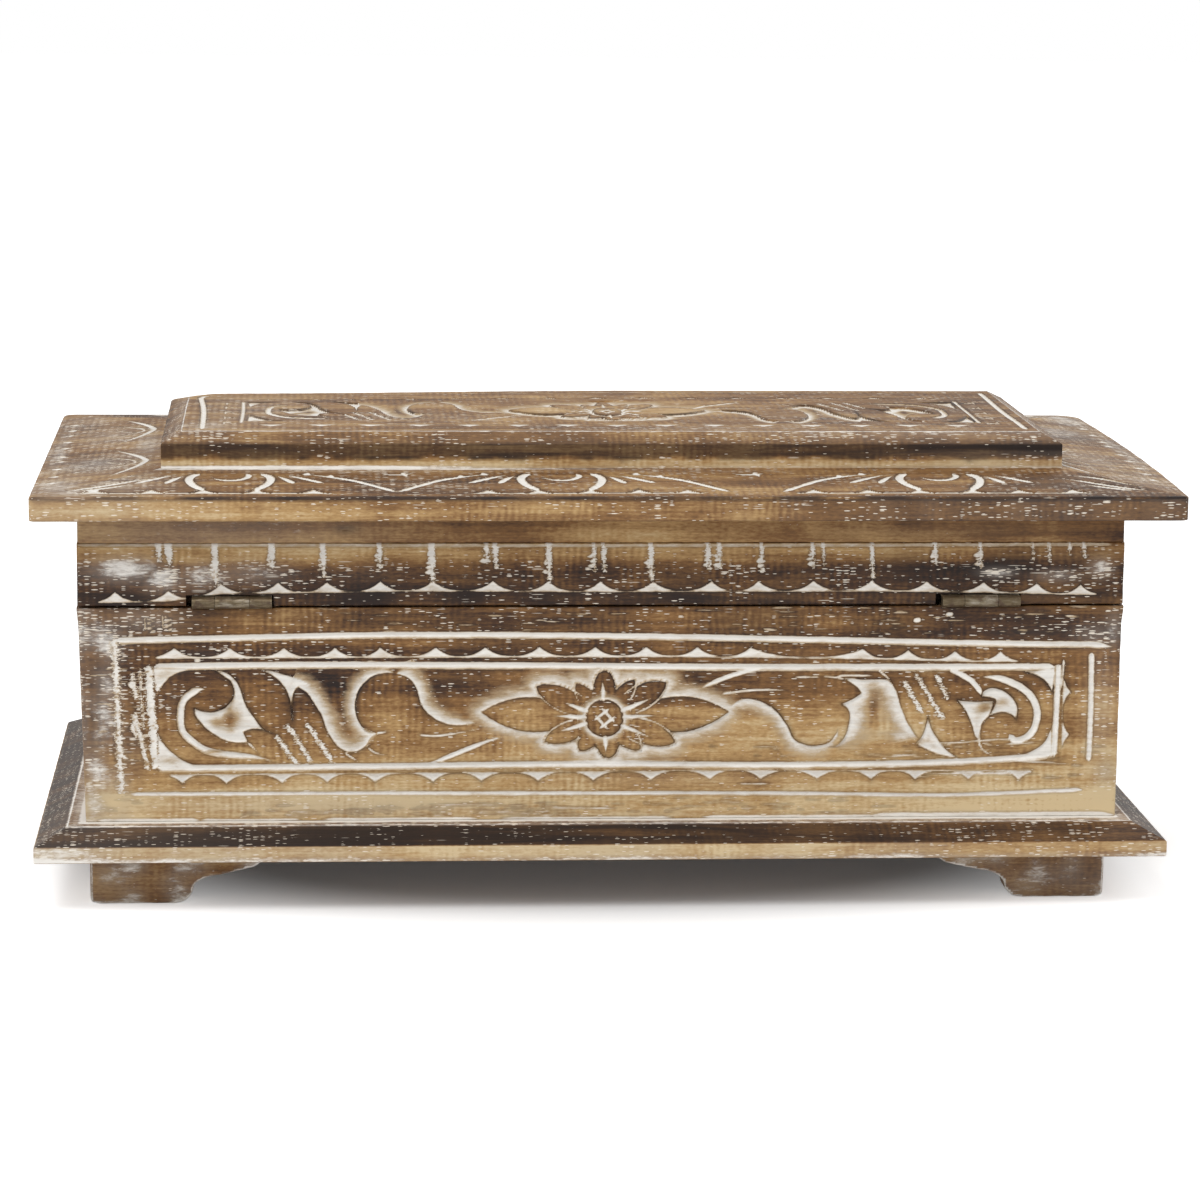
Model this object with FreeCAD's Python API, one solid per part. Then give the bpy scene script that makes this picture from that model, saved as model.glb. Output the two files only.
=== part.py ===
import FreeCAD, Part
import os

# A small carved wooden chest: a case on a bevelled base board with bracket feet, and a lid
# of a rim, packing strips, a sloped board and a raised panel, on two butt hinges.
# Lengths are in millimetres. The chest stands on z = 0, its length runs along X, its front
# faces -Y and its hinged back faces +Y. Left and right are as seen from the front.

# Case: four boards, its outline given at the top arris. It leans a little, as it was hand fitted
case_length = 337.4
case_depth = 168.8
case_height = 70.0
case_wall = 9.0
case_lip_height = 6.0
case_lip_flare = 0.5
case_taper = 0.8
case_lean = 0.9
case_offset = 1.6

# Lid board: the widest board, with a top that slopes up to the raised panel
lid_end_overhang = 15.3
lid_side_overhang = 15.6
lid_edge = 7.7
lid_crown = 3.5

# Raised panel on the lid board, set in from its edges
panel_end_margin = 37.05
panel_side_margin = 40.5
panel_edge = 7.9
panel_bevel_width = 6.8
panel_bevel_rise = 3.4
panel_offset = -3.0

# Lid rim and the plain strips that pack it off the lid board
seam_gap = 0.6
rim_height = 20.3
rim_wall = 9.0
rim_setback = 0.3
strip_height = 9.5
strip_wall = 8.6
strip_setback = 0.2

# Base board with a bevelled upper edge
base_end_overhang = 13.7
base_side_overhang = 14.45
base_edge = 5.1
base_bevel_width = 10.6
base_bevel_rise = 4.8

# Bracket feet: two mitred brackets under each corner of the base board
foot_height = 17.5
foot_setback = 16.9
foot_reach = 57.0
foot_thickness = 10.0
foot_sole = 27.5
foot_toe_round = 2.4
foot_end_width = 5.8
foot_end_height = 5.7
foot_cove_width = 7.0
foot_cove_height = 3.3
foot_wing_width = 11.5
foot_wing_height = 2.6

# Where the arcs of a bracket's outline pass between their ends, along and up as shares
end_mid_shares = (0.78, 0.36)
cove_mid_shares = (0.40, 0.68)
tip_mid_shares = (0.72, 0.42)

# Butt hinges between the case's top edge and the lid rim
hinge_inset = 48.2
hinge_shift = -1.2
hinge_length = 25.4
barrel_diameter = 3.9
barrel_proud = 0.8
middle_knuckle = 10.8
knuckle_gap = 0.15
leaf_thickness = 0.8
leaf_width = 8.3
leaf_relief = 0.3
pin_diameter = 2.0
pin_clearance = 0.05
gain_side_clearance = 1.2
gain_shift = 0.7
gain_end_clearance = 0.3
barrel_clearance = 0.3

# Countersunk screws of the hinge leaves, made with flat sides
screw_sides = 6
screw_spacing = 15.0
screw_inset = 3.6
screw_length = 10.0
screw_diameter = 1.7
screw_head_diameter = 3.2
screw_head_height = 0.7
screw_point = 2.0
screw_slot_width = 0.5
screw_slot_depth = 0.3

# Square cut nails that taper to a point, their heads set below the face of the wood
nail_sides = 4
nail_diameter = 1.5
nail_head_diameter = 2.4
nail_set = 1.2
nail_point = 1.6
corner_nail_length = 25.0
base_nail_length = 22.0
corner_nail_inset = 12.0
rim_nail_inset = 5.0
base_nail_spacing = 130.0

# Carving of the case: two frames with chips between them round a sunk flower and scrolls
groove_width = 2.6
groove_depth = 0.8
frame_end_inset = 13.0
frame_top_inset = 10.2
frame_low_inset = 8.8
field_end_inset = 22.0
field_top_inset = 19.3
field_low_inset = 18.4
chip_pitch = 17.4
chip_width = 12.0
chip_rise = 3.0
chip_depth = 0.7
chip_low_share = 1 / 3
chip_inset = 2.6
relief_depth = 0.8
boss_diameter = 12.2
side_ground_length = 94.0
side_scroll_reach = 147.0
side_scroll_shift = 0.0
end_ground_length = 56.0
end_scroll_reach = 108.0
end_scroll_shift = 50.8

# Chips along the rim stand on a line this far above its lower edge
rim_chip_level = 4.4
rim_chip_rise = 2.6

# Petals: the tip's place along and up, as shares of half the ground, and the half width,
# as a share of half the field's height
long_petal_shares = [(-0.85, 0.13, 0.35), (0.86, 0.12, 0.36)]
narrow_petal_shares = [(-0.20, 0.71, 0.18), (0.21, 0.79, 0.18)]
petal_shares = [
    (-0.48, 0.66, 0.25),
    (0.0, 0.93, 0.24),
    (0.44, 0.73, 0.25),
    (-0.43, -0.46, 0.21),
    (-0.17, -0.67, 0.20),
    (0.03, -0.83, 0.24),
    (0.26, -0.65, 0.21),
    (0.50, -0.50, 0.26),
]

# Pockets of a scroll: a start, then for each arc its middle and its end, along and up as
# shares of the scroll's reach and of half the field's height, from the flower's middle
head_pocket_shares = [
    [(-0.867, 0.62), (-0.938, -0.12), (-0.782, -0.75), (-0.915, -0.12), (-0.867, 0.62)],
    [(-0.90, 0.24), (-0.84, 0.35), (-0.81, 0.80), (-0.775, 0.30), (-0.72, -0.30), (-0.80, -0.42),
     (-0.90, 0.24)],
]
tail_pocket_shares = [
    [(-0.66, 0.60), (-0.615, -0.10), (-0.555, -0.66), (-0.525, -0.58), (-0.50, -0.27), (-0.57, 0.0),
     (-0.66, 0.60)],
    [(-0.497, -0.27), (-0.55, 0.28), (-0.47, 0.90), (-0.51, 0.30), (-0.497, -0.27)],
    [(-0.45, 0.90), (-0.41, 0.30), (-0.28, -0.06), (-0.36, 0.27), (-0.45, 0.90)],
]

# How far cutting tools run past what they cut
overrun = 1.0

# Levels and outlines worked out from the sizes above
base_bottom = foot_height
base_shoulder = base_bottom + base_edge
base_top = base_shoulder + base_bevel_rise
case_top = base_top + case_height
rim_bottom = case_top + seam_gap
strip_bottom = rim_bottom + rim_height
lid_bottom = strip_bottom + strip_height
panel_bottom = lid_bottom + lid_edge + lid_crown
panel_shoulder = panel_bottom + panel_edge
panel_top = panel_shoulder + panel_bevel_rise
base_length = case_length + 2 * base_end_overhang
base_depth = case_depth + 2 * base_side_overhang
lid_length = case_length + 2 * lid_end_overhang
lid_depth = case_depth + 2 * lid_side_overhang
panel_length = lid_length - 2 * panel_end_margin
panel_depth = lid_depth - 2 * panel_side_margin
inner_length = case_length - 2 * case_wall
inner_depth = case_depth - 2 * case_wall
hinge_reach = case_length / 2 - hinge_inset
hinge_places = (hinge_shift - hinge_reach, hinge_shift + hinge_reach)
rim_length = case_length - 2 * rim_setback
rim_depth = case_depth - 2 * rim_setback
strip_length = rim_length - 2 * strip_setback
strip_depth = rim_depth - 2 * strip_setback
barrel_radius = barrel_diameter / 2
axis_y = case_depth / 2 + barrel_proud
axis_z = case_top + barrel_radius
end_knuckle = (hinge_length - middle_knuckle) / 2

across = FreeCAD.Vector(1, 0, 0)
inward = FreeCAD.Vector(0, 1, 0)
up = FreeCAD.Vector(0, 0, 1)


def at(x, y, z):
    """A point."""
    return FreeCAD.Vector(x, y, z)


def block(x0, x1, y0, y1, z0, z1):
    """A box between two corners."""
    return Part.makeBox(x1 - x0, y1 - y0, z1 - z0, at(x0, y0, z0))


def level_rectangle(length, depth, height):
    """The corners of a level rectangle round the Z axis."""
    x = length / 2
    y = depth / 2
    return [at(-x, -y, height), at(x, -y, height), at(x, y, height), at(-x, y, height)]


def planed(low, high):
    """A solid with flat faces between two level rectangles."""
    loops = [low, high]
    for i in range(len(low)):
        j = (i + 1) % len(low)
        loops.append([low[i], low[j], high[j], high[i]])
    faces = [Part.Face(Part.makePolygon(loop + loop[:1])) for loop in loops]
    return Part.makeSolid(Part.makeShell(faces))


def fused(shapes):
    """One solid from touching or crossing solids, with no leftover edges."""
    return shapes[0].multiFuse(shapes[1:]).removeSplitter()


def base_board():
    """The base board: a square edge below and a bevel above, bored for its nails."""
    outer = level_rectangle(base_length, base_depth, base_bottom)
    shoulder = level_rectangle(base_length, base_depth, base_shoulder)
    ledge_length = base_length - 2 * base_bevel_width
    ledge_depth = base_depth - 2 * base_bevel_width
    ledge = level_rectangle(ledge_length, ledge_depth, base_top)
    board = fused([planed(outer, shoulder), planed(shoulder, ledge)])
    return board.cut(Part.makeCompound(base_nails()))


def between(x0, z0, x1, z1, shares):
    """A point of an upright outline between two others, by shares along and up."""
    return at(x0 + (x1 - x0) * shares[0], 0, z0 + (z1 - z0) * shares[1])


def foot_profile():
    """A bracket's outline in x and z, from its toe at x = 0 to the tip of its wing."""
    toe_mid = foot_toe_round * (1 - 0.5 ** 0.5)
    end_x = foot_sole + foot_end_width
    cove_x = end_x + foot_cove_width
    cove_z = foot_end_height + foot_cove_height
    wing_x = cove_x + foot_wing_width
    wing_z = cove_z + foot_wing_height
    end_mid = between(foot_sole, 0, end_x, foot_end_height, end_mid_shares)
    cove_mid = between(end_x, foot_end_height, cove_x, cove_z, cove_mid_shares)
    tip_mid = between(wing_x, wing_z, foot_reach, foot_height, tip_mid_shares)
    toe = Part.Arc(at(0, 0, foot_toe_round), at(toe_mid, 0, toe_mid), at(foot_toe_round, 0, 0))
    end = Part.Arc(at(foot_sole, 0, 0), end_mid, at(end_x, 0, foot_end_height))
    cove = Part.Arc(at(end_x, 0, foot_end_height), cove_mid, at(cove_x, 0, cove_z))
    tip = Part.Arc(at(wing_x, 0, wing_z), tip_mid, at(foot_reach, 0, foot_height))
    edges = [
        toe.toShape(),
        Part.makeLine(at(foot_toe_round, 0, 0), at(foot_sole, 0, 0)),
        end.toShape(),
        cove.toShape(),
        Part.makeLine(at(cove_x, 0, cove_z), at(wing_x, 0, wing_z)),
        tip.toShape(),
        Part.makeLine(at(foot_reach, 0, foot_height), at(0, 0, foot_height)),
        Part.makeLine(at(0, 0, foot_height), at(0, 0, foot_toe_round)),
    ]
    return Part.Face(Part.Wire(edges))


def foot_bracket():
    """One bracket along +X from the corner at the origin, mitred to meet its partner."""
    bracket = foot_profile().extrude(inward * foot_thickness)
    plan = [
        at(0, 0, 0),
        at(foot_reach, 0, 0),
        at(foot_reach, foot_thickness, 0),
        at(foot_thickness, foot_thickness, 0),
        at(0, 0, 0),
    ]
    mitre = Part.Face(Part.makePolygon(plan)).extrude(up * foot_height)
    return bracket.common(mitre)


def feet():
    """Eight brackets: at each corner one along the long side and one along the end."""
    corner_x = base_length / 2 - foot_setback
    corner_y = base_depth / 2 - foot_setback
    made = {}
    for front, y_side in (("front", -1), ("back", 1)):
        for left, x_side in (("left", -1), ("right", 1)):
            along = foot_bracket()
            aside = along.mirror(at(0, 0, 0), at(1, -1, 0))
            for part, bracket in (("face", along), ("side", aside)):
                if x_side > 0:
                    bracket = bracket.mirror(at(0, 0, 0), across)
                if y_side > 0:
                    bracket = bracket.mirror(at(0, 0, 0), inward)
                bracket.translate(at(x_side * corner_x, y_side * corner_y, 0))
                made["foot_" + front + "_" + left + "_" + part] = bracket
    return made


def case_form():
    """The case's outer form: a slight taper below and a flared lip at the top."""
    lip_length = case_length - 2 * case_lip_flare
    lip_depth = case_depth - 2 * case_lip_flare
    foot = level_rectangle(lip_length - 2 * case_taper, lip_depth - 2 * case_taper, base_top)
    foot = [corner - across * case_lean for corner in foot]
    lip = level_rectangle(lip_length, lip_depth, case_top - case_lip_height)
    top = level_rectangle(case_length, case_depth, case_top)
    return fused([planed(foot, lip), planed(lip, top)])


def four_boards(form, clear_length, clear_depth):
    """Cuts a solid form into front and back boards with the end boards between them."""
    box = form.BoundBox
    y_out = box.YMax + overrun
    x_out = box.XMax + overrun
    x_in = clear_length / 2
    y_in = clear_depth / 2
    z0 = box.ZMin
    z1 = box.ZMax
    places = {
        "front": block(-x_out, x_out, -y_out, -y_in, z0, z1),
        "back": block(-x_out, x_out, y_in, y_out, z0, z1),
        "left": block(-x_out, -x_in, -y_in, y_in, z0, z1),
        "right": block(x_in, x_out, -y_in, y_in, z0, z1),
    }
    return {side: form.common(place) for side, place in places.items()}


def faceted(profile, sides, point, direction):
    """A fastener from a list of (radius, distance), with flat sides round its axis."""
    turns = [360 * (i + 0.5) / sides for i in range(sides)]
    ways = [FreeCAD.Rotation(up, turn).multVec(across) for turn in turns]
    rings = [[way * radius + up * distance for way in ways] for radius, distance in profile]
    tip = up * profile[-1][1]
    loops = [rings[0]]
    for low, high in zip(rings[:-2], rings[1:-1]):
        for i in range(sides):
            loops.append([low[i - 1], low[i], high[i], high[i - 1]])
    loops += [[rings[-2][i - 1], rings[-2][i], tip] for i in range(sides)]
    faces = [Part.Face(Part.makePolygon(loop + loop[:1])) for loop in loops]
    solid = Part.makeSolid(Part.makeShell(faces))
    solid.Placement = FreeCAD.Placement(point, FreeCAD.Rotation(up, direction))
    return solid


def nail(point, direction, length):
    """A nail that tapers along direction from its head at point."""
    profile = [
        (nail_head_diameter / 2, 0),
        (nail_diameter / 2, length - nail_point),
        (0, length),
    ]
    return faceted(profile, nail_sides, point, direction)


def corner_nails(length, setback, low, high):
    """Nails through the front and back boards into the ends, near the boards' two edges."""
    nails = []
    for x_side in (-1, 1):
        for y_side in (-1, 1):
            for z in (low, high):
                head = at(x_side * length / 2, y_side * setback, z)
                nails.append(nail(head, inward * -y_side, corner_nail_length))
    return nails


def case_nails():
    """Two nails in each corner of the case, heads sunk below the tapered face."""
    face = case_depth / 2 - case_lip_flare - case_taper - nail_set
    low = base_top + corner_nail_inset
    high = case_top - corner_nail_inset
    return corner_nails(case_length - case_wall, face, low, high)


def rim_nails():
    """Two nails in each corner of the lid rim, heads sunk below its face."""
    low = rim_bottom + rim_nail_inset
    high = strip_bottom - rim_nail_inset
    return corner_nails(rim_length - rim_wall, rim_depth / 2 - nail_set, low, high)


def base_nails():
    """Nails up through the base board into the front and back boards and the ends."""
    x = (case_length - case_wall) / 2
    y = (case_depth - case_wall) / 2
    spots = [(i * base_nail_spacing, side * y) for i in (-1, 0, 1) for side in (-1, 1)]
    spots += [(-x, 0), (x, 0)]
    return [nail(at(a, b, base_bottom), up, base_nail_length) for a, b in spots]


def screw_form(point, direction):
    """A countersunk screw's shape before its slot is cut, its head's outer face at point."""
    head = screw_head_diameter / 2
    shank = screw_diameter / 2
    profile = [
        (head, 0),
        (shank, screw_head_height),
        (shank, screw_length - screw_point),
        (0, screw_length),
    ]
    return faceted(profile, screw_sides, point, direction)


def screw(point, direction):
    """A small slotted countersunk screw with its head's outer face at point."""
    head = screw_head_diameter / 2
    solid = screw_form(point, direction)
    half = screw_slot_width / 2
    depth = direction * screw_slot_depth
    slot = block(
        point.x - head,
        point.x + head,
        point.y - half,
        point.y + half,
        min(point.z, point.z + depth.z),
        max(point.z, point.z + depth.z),
    )
    return solid.cut(slot)


def screw_points(hinge_x, direction):
    """Where the two screw heads of a leaf lie, on the leaf's inner face."""
    y = axis_y - leaf_width + screw_inset
    face = axis_z + direction.z * (barrel_radius - leaf_thickness)
    return [at(hinge_x + side * screw_spacing / 2, y, face) for side in (-1, 1)]


def leaf_screws(hinge_x, direction):
    """The two screws of a leaf, going down into the case or up into the rim."""
    return [screw(point, direction) for point in screw_points(hinge_x, direction)]


def screw_bores(hinge_x, direction):
    """What the leaf and the wood lose to the screws: their shape without the slots."""
    return [screw_form(point, direction) for point in screw_points(hinge_x, direction)]


def knuckle(hinge_x, start, length):
    """A solid stretch of the hinge's barrel, from start along its length."""
    point = at(hinge_x - hinge_length / 2 + start, axis_y, axis_z)
    return Part.makeCylinder(barrel_radius, length, point, across)


def bore(hinge_x, radius):
    """The hole for the pin through the whole barrel."""
    point = at(hinge_x - hinge_length / 2 - overrun, axis_y, axis_z)
    return Part.makeCylinder(radius, hinge_length + 2 * overrun, point, across)


def clearing(hinge_x, start, length):
    """The space that the other leaf's knuckle turns in, cut out of a leaf."""
    reach = barrel_radius + leaf_relief
    low = hinge_x - hinge_length / 2 + start
    y = axis_y
    return block(low, low + length, y - reach, y + reach, axis_z - reach, axis_z + reach)


def leaf_plate(hinge_x, side):
    """A leaf's flat plate, tangent to the barrel below (side -1) or above (side 1)."""
    outer = axis_z + side * barrel_radius
    inner = axis_z + side * (barrel_radius - leaf_thickness)
    low = hinge_x - hinge_length / 2
    z0 = min(outer, inner)
    z1 = max(outer, inner)
    return block(low, low + hinge_length, axis_y - leaf_width, axis_y, z0, z1)


def case_leaf(hinge_x):
    """The leaf on the case: the two end knuckles and a plate on the case's top edge."""
    end = end_knuckle - knuckle_gap
    last = hinge_length - end
    plate = leaf_plate(hinge_x, -1)
    plate = plate.cut(clearing(hinge_x, end, hinge_length - 2 * end))
    leaf = fused([plate, knuckle(hinge_x, 0, end), knuckle(hinge_x, last, end)])
    leaf = leaf.cut(bore(hinge_x, pin_diameter / 2))
    return leaf.cut(Part.makeCompound(screw_bores(hinge_x, -up)))


def lid_leaf(hinge_x):
    """The leaf on the lid: the middle knuckle and a plate under the rim."""
    last = hinge_length - end_knuckle
    plate = leaf_plate(hinge_x, 1)
    for start in (0, last):
        plate = plate.cut(clearing(hinge_x, start, end_knuckle))
    leaf = fused([plate, knuckle(hinge_x, end_knuckle, middle_knuckle)])
    leaf = leaf.cut(bore(hinge_x, pin_diameter / 2 + pin_clearance))
    return leaf.cut(Part.makeCompound(screw_bores(hinge_x, up)))


def hinge_pin(hinge_x):
    """The plain pin through the barrel, its ends flush with the barrel's."""
    point = at(hinge_x - hinge_length / 2, axis_y, axis_z)
    return Part.makeCylinder(pin_diameter / 2, hinge_length, point, across)


def gain(hinge_x):
    """The notch in the rim's lower edge for a hinge: one step for the leaf, one for the barrel."""
    half = hinge_length / 2 + gain_side_clearance
    middle = hinge_x + gain_shift
    low = rim_bottom - overrun
    leaf_end = axis_y - leaf_width - gain_end_clearance
    barrel_end = axis_y - barrel_radius - barrel_clearance
    out = axis_y + barrel_radius
    ceiling = axis_z + barrel_radius
    leaf_step = block(middle - half, middle + half, leaf_end, out, low, ceiling)
    raised = ceiling + barrel_clearance
    barrel_step = block(middle - half, middle + half, barrel_end, out, low, raised)
    return leaf_step.fuse(barrel_step)


def groove(start, end):
    """A straight V groove along a face. The face is the XY plane and the wood lies below it."""
    way = (end - start).normalize()
    half = groove_width / 2
    lift = up * overrun
    aside = up.cross(way) * half * (1 + overrun / groove_depth)
    section = [start + lift - aside, start + lift + aside, start - up * groove_depth]
    return Part.Face(Part.makePolygon(section + section[:1])).extrude(end - start)


def chip(spot, way, rise):
    """A three-sided chip cut: its base runs along way at spot, its peak is to the left of it."""
    peak_way = up.cross(way)
    corners = [spot - way * chip_width / 2, spot + way * chip_width / 2, spot + peak_way * rise]
    lowest = spot + peak_way * rise * chip_low_share - up * chip_depth
    reach = 1 + overrun / chip_depth
    mouth = [lowest + (corner - lowest) * reach for corner in corners]
    loops = [mouth] + [[mouth[i - 1], mouth[i], lowest] for i in range(3)]
    faces = [Part.Face(Part.makePolygon(loop + loop[:1])) for loop in loops]
    return Part.makeSolid(Part.makeShell(faces))


def arcs(points):
    """A closed outline of arcs from a start, then the middle and the end of each arc."""
    edges = [Part.Arc(*points[i:i + 3]).toShape() for i in range(0, len(points) - 1, 2)]
    return Part.Wire(edges)


def sunk(outline):
    """A flat pocket of the relief's depth inside an outline."""
    bottom = outline.translated(up * -relief_depth)
    return Part.Face(bottom).extrude(up * (relief_depth + overrun))


def petal(tip, half_width):
    """A petal between two arcs, from the flower's middle to its tip."""
    middle = tip / 2
    aside = up.cross(tip).normalize() * half_width
    centre = at(0, 0, 0)
    outline = arcs([centre, middle + aside, tip, middle - aside, centre])
    return sunk(outline)


def flower(petals, half_length, half_height):
    """The ground that is cut away round a flower, which leaves its petals and boss standing."""
    left = at(-half_length, 0, 0)
    right = at(half_length, 0, 0)
    rise = at(0, half_height, 0)
    ground = sunk(arcs([left, rise, right, -rise, left]))
    standing = [petal(at(a * half_length, b * half_height, 0), w * half_height) for a, b, w in petals]
    boss = Part.makeCylinder(boss_diameter / 2, relief_depth + overrun, up * -relief_depth)
    return ground.cut(Part.makeCompound(standing + [boss]))


def scroll(pockets, reach, shift, half_height, side):
    """The pockets of a scroll on one side of the flower; side -1 turns them by half a turn."""
    cuts = []
    for shares in pockets:
        points = [at(side * (a * reach + shift), side * b * half_height, 0) for a, b in shares]
        cuts.append(sunk(arcs(points)))
    return cuts


def chip_row(half_length, level, way, rise):
    """A row of chips along a level, from one end to the other."""
    count = int(2 * half_length / chip_pitch)
    spots = [(i - (count - 1) / 2) * chip_pitch for i in range(count)]
    return [chip(at(a, level, 0), way, rise) for a in spots]


def case_carving(half_length, petals, ground_length, pockets, scroll_reach, scroll_shift):
    """All cuts of a board of the case, on its face, from the middle of the face's lower edge."""
    frame_a = half_length - frame_end_inset
    field_a = half_length - field_end_inset
    frame_low = frame_low_inset
    frame_top = case_height - frame_top_inset
    low = field_low_inset
    top = case_height - field_top_inset
    corners = [at(-field_a, low, 0), at(field_a, low, 0), at(field_a, top, 0), at(-field_a, top, 0)]
    cuts = [groove(corners[i - 1], corners[i]) for i in range(4)]
    cuts += [groove(at(-frame_a, b, 0), at(frame_a, b, 0)) for b in (frame_low, frame_top)]
    cuts += [groove(at(a, frame_low, 0), at(a, frame_top, 0)) for a in (-frame_a, frame_a)]
    cuts += chip_row(field_a, top + chip_inset, across, chip_rise)
    cuts += chip_row(field_a, low - chip_inset, -across, chip_rise)
    half_height = (top - low - groove_width) / 2
    work = [flower(petals, ground_length / 2, half_height)]
    for side in (1, -1):
        work += scroll(pockets, scroll_reach, scroll_shift, half_height, side)
    for cut in work:
        cut.translate(at(0, (low + top) / 2, 0))
    return cuts + work


def on_face(cuts, low, high, right):
    """Puts cuts on an upright face: low and high are its lower and upper middle points."""
    rise = (high - low).normalize()
    out = right.cross(rise).normalize()
    frame = FreeCAD.Matrix(
        right.x, rise.x, out.x, low.x,
        right.y, rise.y, out.y, low.y,
        right.z, rise.z, out.z, low.z,
        0, 0, 0, 1,
    )
    return [cut.transformed(frame) for cut in cuts]


def case_relief():
    """The carving of the case's four boards, each on its own tapered face."""
    y_low = case_depth / 2 - case_lip_flare - case_taper
    y_high = case_depth / 2 - case_lip_flare
    x_low = case_length / 2 - case_lip_flare - case_taper
    x_high = case_length / 2 - case_lip_flare
    lip = case_top - case_lip_height
    end_half = case_depth / 2 - case_wall
    side_petals = long_petal_shares + narrow_petal_shares + petal_shares
    side_pockets = head_pocket_shares + tail_pocket_shares
    side_scroll = (side_pockets, side_scroll_reach, side_scroll_shift)
    end_scroll = (head_pocket_shares, end_scroll_reach, end_scroll_shift)
    side = case_carving(case_length / 2, side_petals, side_ground_length, *side_scroll)
    end = case_carving(end_half, petal_shares, end_ground_length, *end_scroll)
    faces = {
        "front": (side, at(-case_lean, -y_low, base_top), at(0, -y_high, lip), across),
        "back": (side, at(-case_lean, y_low, base_top), at(0, y_high, lip), -across),
        "left": (end, at(-x_low - case_lean, 0, base_top), at(-x_high, 0, lip), -inward),
        "right": (end, at(x_low - case_lean, 0, base_top), at(x_high, 0, lip), inward),
    }
    return {name: on_face(*face) for name, face in faces.items()}


def rim_chips():
    """The row of chips along the lower edge of each rim board."""
    y = rim_depth / 2
    x = rim_length / 2
    side = chip_row(x - frame_end_inset, rim_chip_level, across, rim_chip_rise)
    end = chip_row(y - rim_wall - frame_end_inset, rim_chip_level, across, rim_chip_rise)
    faces = {
        "front": (side, at(0, -y, rim_bottom), at(0, -y, strip_bottom), across),
        "back": (side, at(0, y, rim_bottom), at(0, y, strip_bottom), -across),
        "left": (end, at(-x, 0, rim_bottom), at(-x, 0, strip_bottom), -inward),
        "right": (end, at(x, 0, rim_bottom), at(x, 0, strip_bottom), inward),
    }
    return {name: on_face(*face) for name, face in faces.items()}


def rim_form():
    """The lid rim's outer form."""
    low = level_rectangle(rim_length, rim_depth, rim_bottom)
    high = level_rectangle(rim_length, rim_depth, strip_bottom)
    return planed(low, high)


def strip_form():
    """The outer form of the plain strips between the rim and the lid board."""
    low = level_rectangle(strip_length, strip_depth, strip_bottom)
    high = level_rectangle(strip_length, strip_depth, lid_bottom)
    return planed(low, high)


def lid_board():
    """The lid board: a square edge, and a top that slopes up to the raised panel's outline."""
    shoulder_z = lid_bottom + lid_edge
    bottom = level_rectangle(lid_length, lid_depth, lid_bottom)
    shoulder = level_rectangle(lid_length, lid_depth, shoulder_z)
    crown = level_rectangle(panel_length, panel_depth, panel_bottom)
    shift = at(panel_offset, 0, 0)
    crown = [corner + shift for corner in crown]
    return fused([planed(bottom, shoulder), planed(shoulder, crown)])


def raised_panel():
    """The raised panel, with a square edge below and a bevel above."""
    top_length = panel_length - 2 * panel_bevel_width
    top_depth = panel_depth - 2 * panel_bevel_width
    bottom = level_rectangle(panel_length, panel_depth, panel_bottom)
    shoulder = level_rectangle(panel_length, panel_depth, panel_shoulder)
    top = level_rectangle(top_length, top_depth, panel_top)
    return fused([planed(bottom, shoulder), planed(shoulder, top)])


def case_nodes():
    """Every piece that stays with the case, round the case's own middle."""
    nodes = {"base_board": base_board()}
    nodes.update(feet())
    down_screws = [s for x in hinge_places for s in leaf_screws(x, -up)]
    down_bores = [s for x in hinge_places for s in screw_bores(x, -up)]
    held = case_nails() + base_nails() + down_bores
    relief = case_relief()
    boards = four_boards(case_form(), inner_length, inner_depth)
    for side, board in boards.items():
        nodes["case_" + side] = board.cut(relief[side]).cut(Part.makeCompound(held))
    nodes["case_nails"] = Part.makeCompound(case_nails())
    nodes["base_nails"] = Part.makeCompound(base_nails())
    nodes["case_leaf_screws"] = Part.makeCompound(down_screws)
    for side, x in zip(("left", "right"), hinge_places):
        nodes["hinge_" + side + "_case_leaf"] = case_leaf(x)
        nodes["hinge_" + side + "_pin"] = hinge_pin(x)
    return nodes


def lid_nodes():
    """Every piece of the lid that lines up with the case."""
    nodes = {}
    up_screws = [s for x in hinge_places for s in leaf_screws(x, up)]
    up_bores = [s for x in hinge_places for s in screw_bores(x, up)]
    held = rim_nails() + up_bores + [gain(x) for x in hinge_places]
    clear_length = rim_length - 2 * rim_wall
    clear_depth = rim_depth - 2 * rim_wall
    relief = rim_chips()
    for side, board in four_boards(rim_form(), clear_length, clear_depth).items():
        nodes["rim_" + side] = board.cut(relief[side]).cut(Part.makeCompound(held))
    clear_length = strip_length - 2 * strip_wall
    clear_depth = strip_depth - 2 * strip_wall
    for side, board in four_boards(strip_form(), clear_length, clear_depth).items():
        nodes["strip_" + side] = board
    nodes["rim_nails"] = Part.makeCompound(rim_nails())
    nodes["lid_leaf_screws"] = Part.makeCompound(up_screws)
    for side, x in zip(("left", "right"), hinge_places):
        nodes["hinge_" + side + "_lid_leaf"] = lid_leaf(x)
    return nodes


def all_nodes():
    """All the nodes in place. The lid board is centred; the rest is fixed a little off it."""
    nodes = case_nodes()
    nodes.update(lid_nodes())
    for shape in nodes.values():
        shape.translate(at(case_offset, 0, 0))
    nodes["lid_board"] = lid_board()
    panel = raised_panel()
    panel.translate(at(panel_offset, 0, 0))
    nodes["raised_panel"] = panel
    return nodes


os.makedirs("parts", exist_ok=True)
for name, shape in all_nodes().items():
    shape.exportStep("parts/" + name + ".step")
    print(name, len(shape.Solids), "solids", round(shape.Volume), "mm3", shape.isValid())
print("hinge axis", axis_y, axis_z, "case top", case_top, "total height", panel_top)
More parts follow.
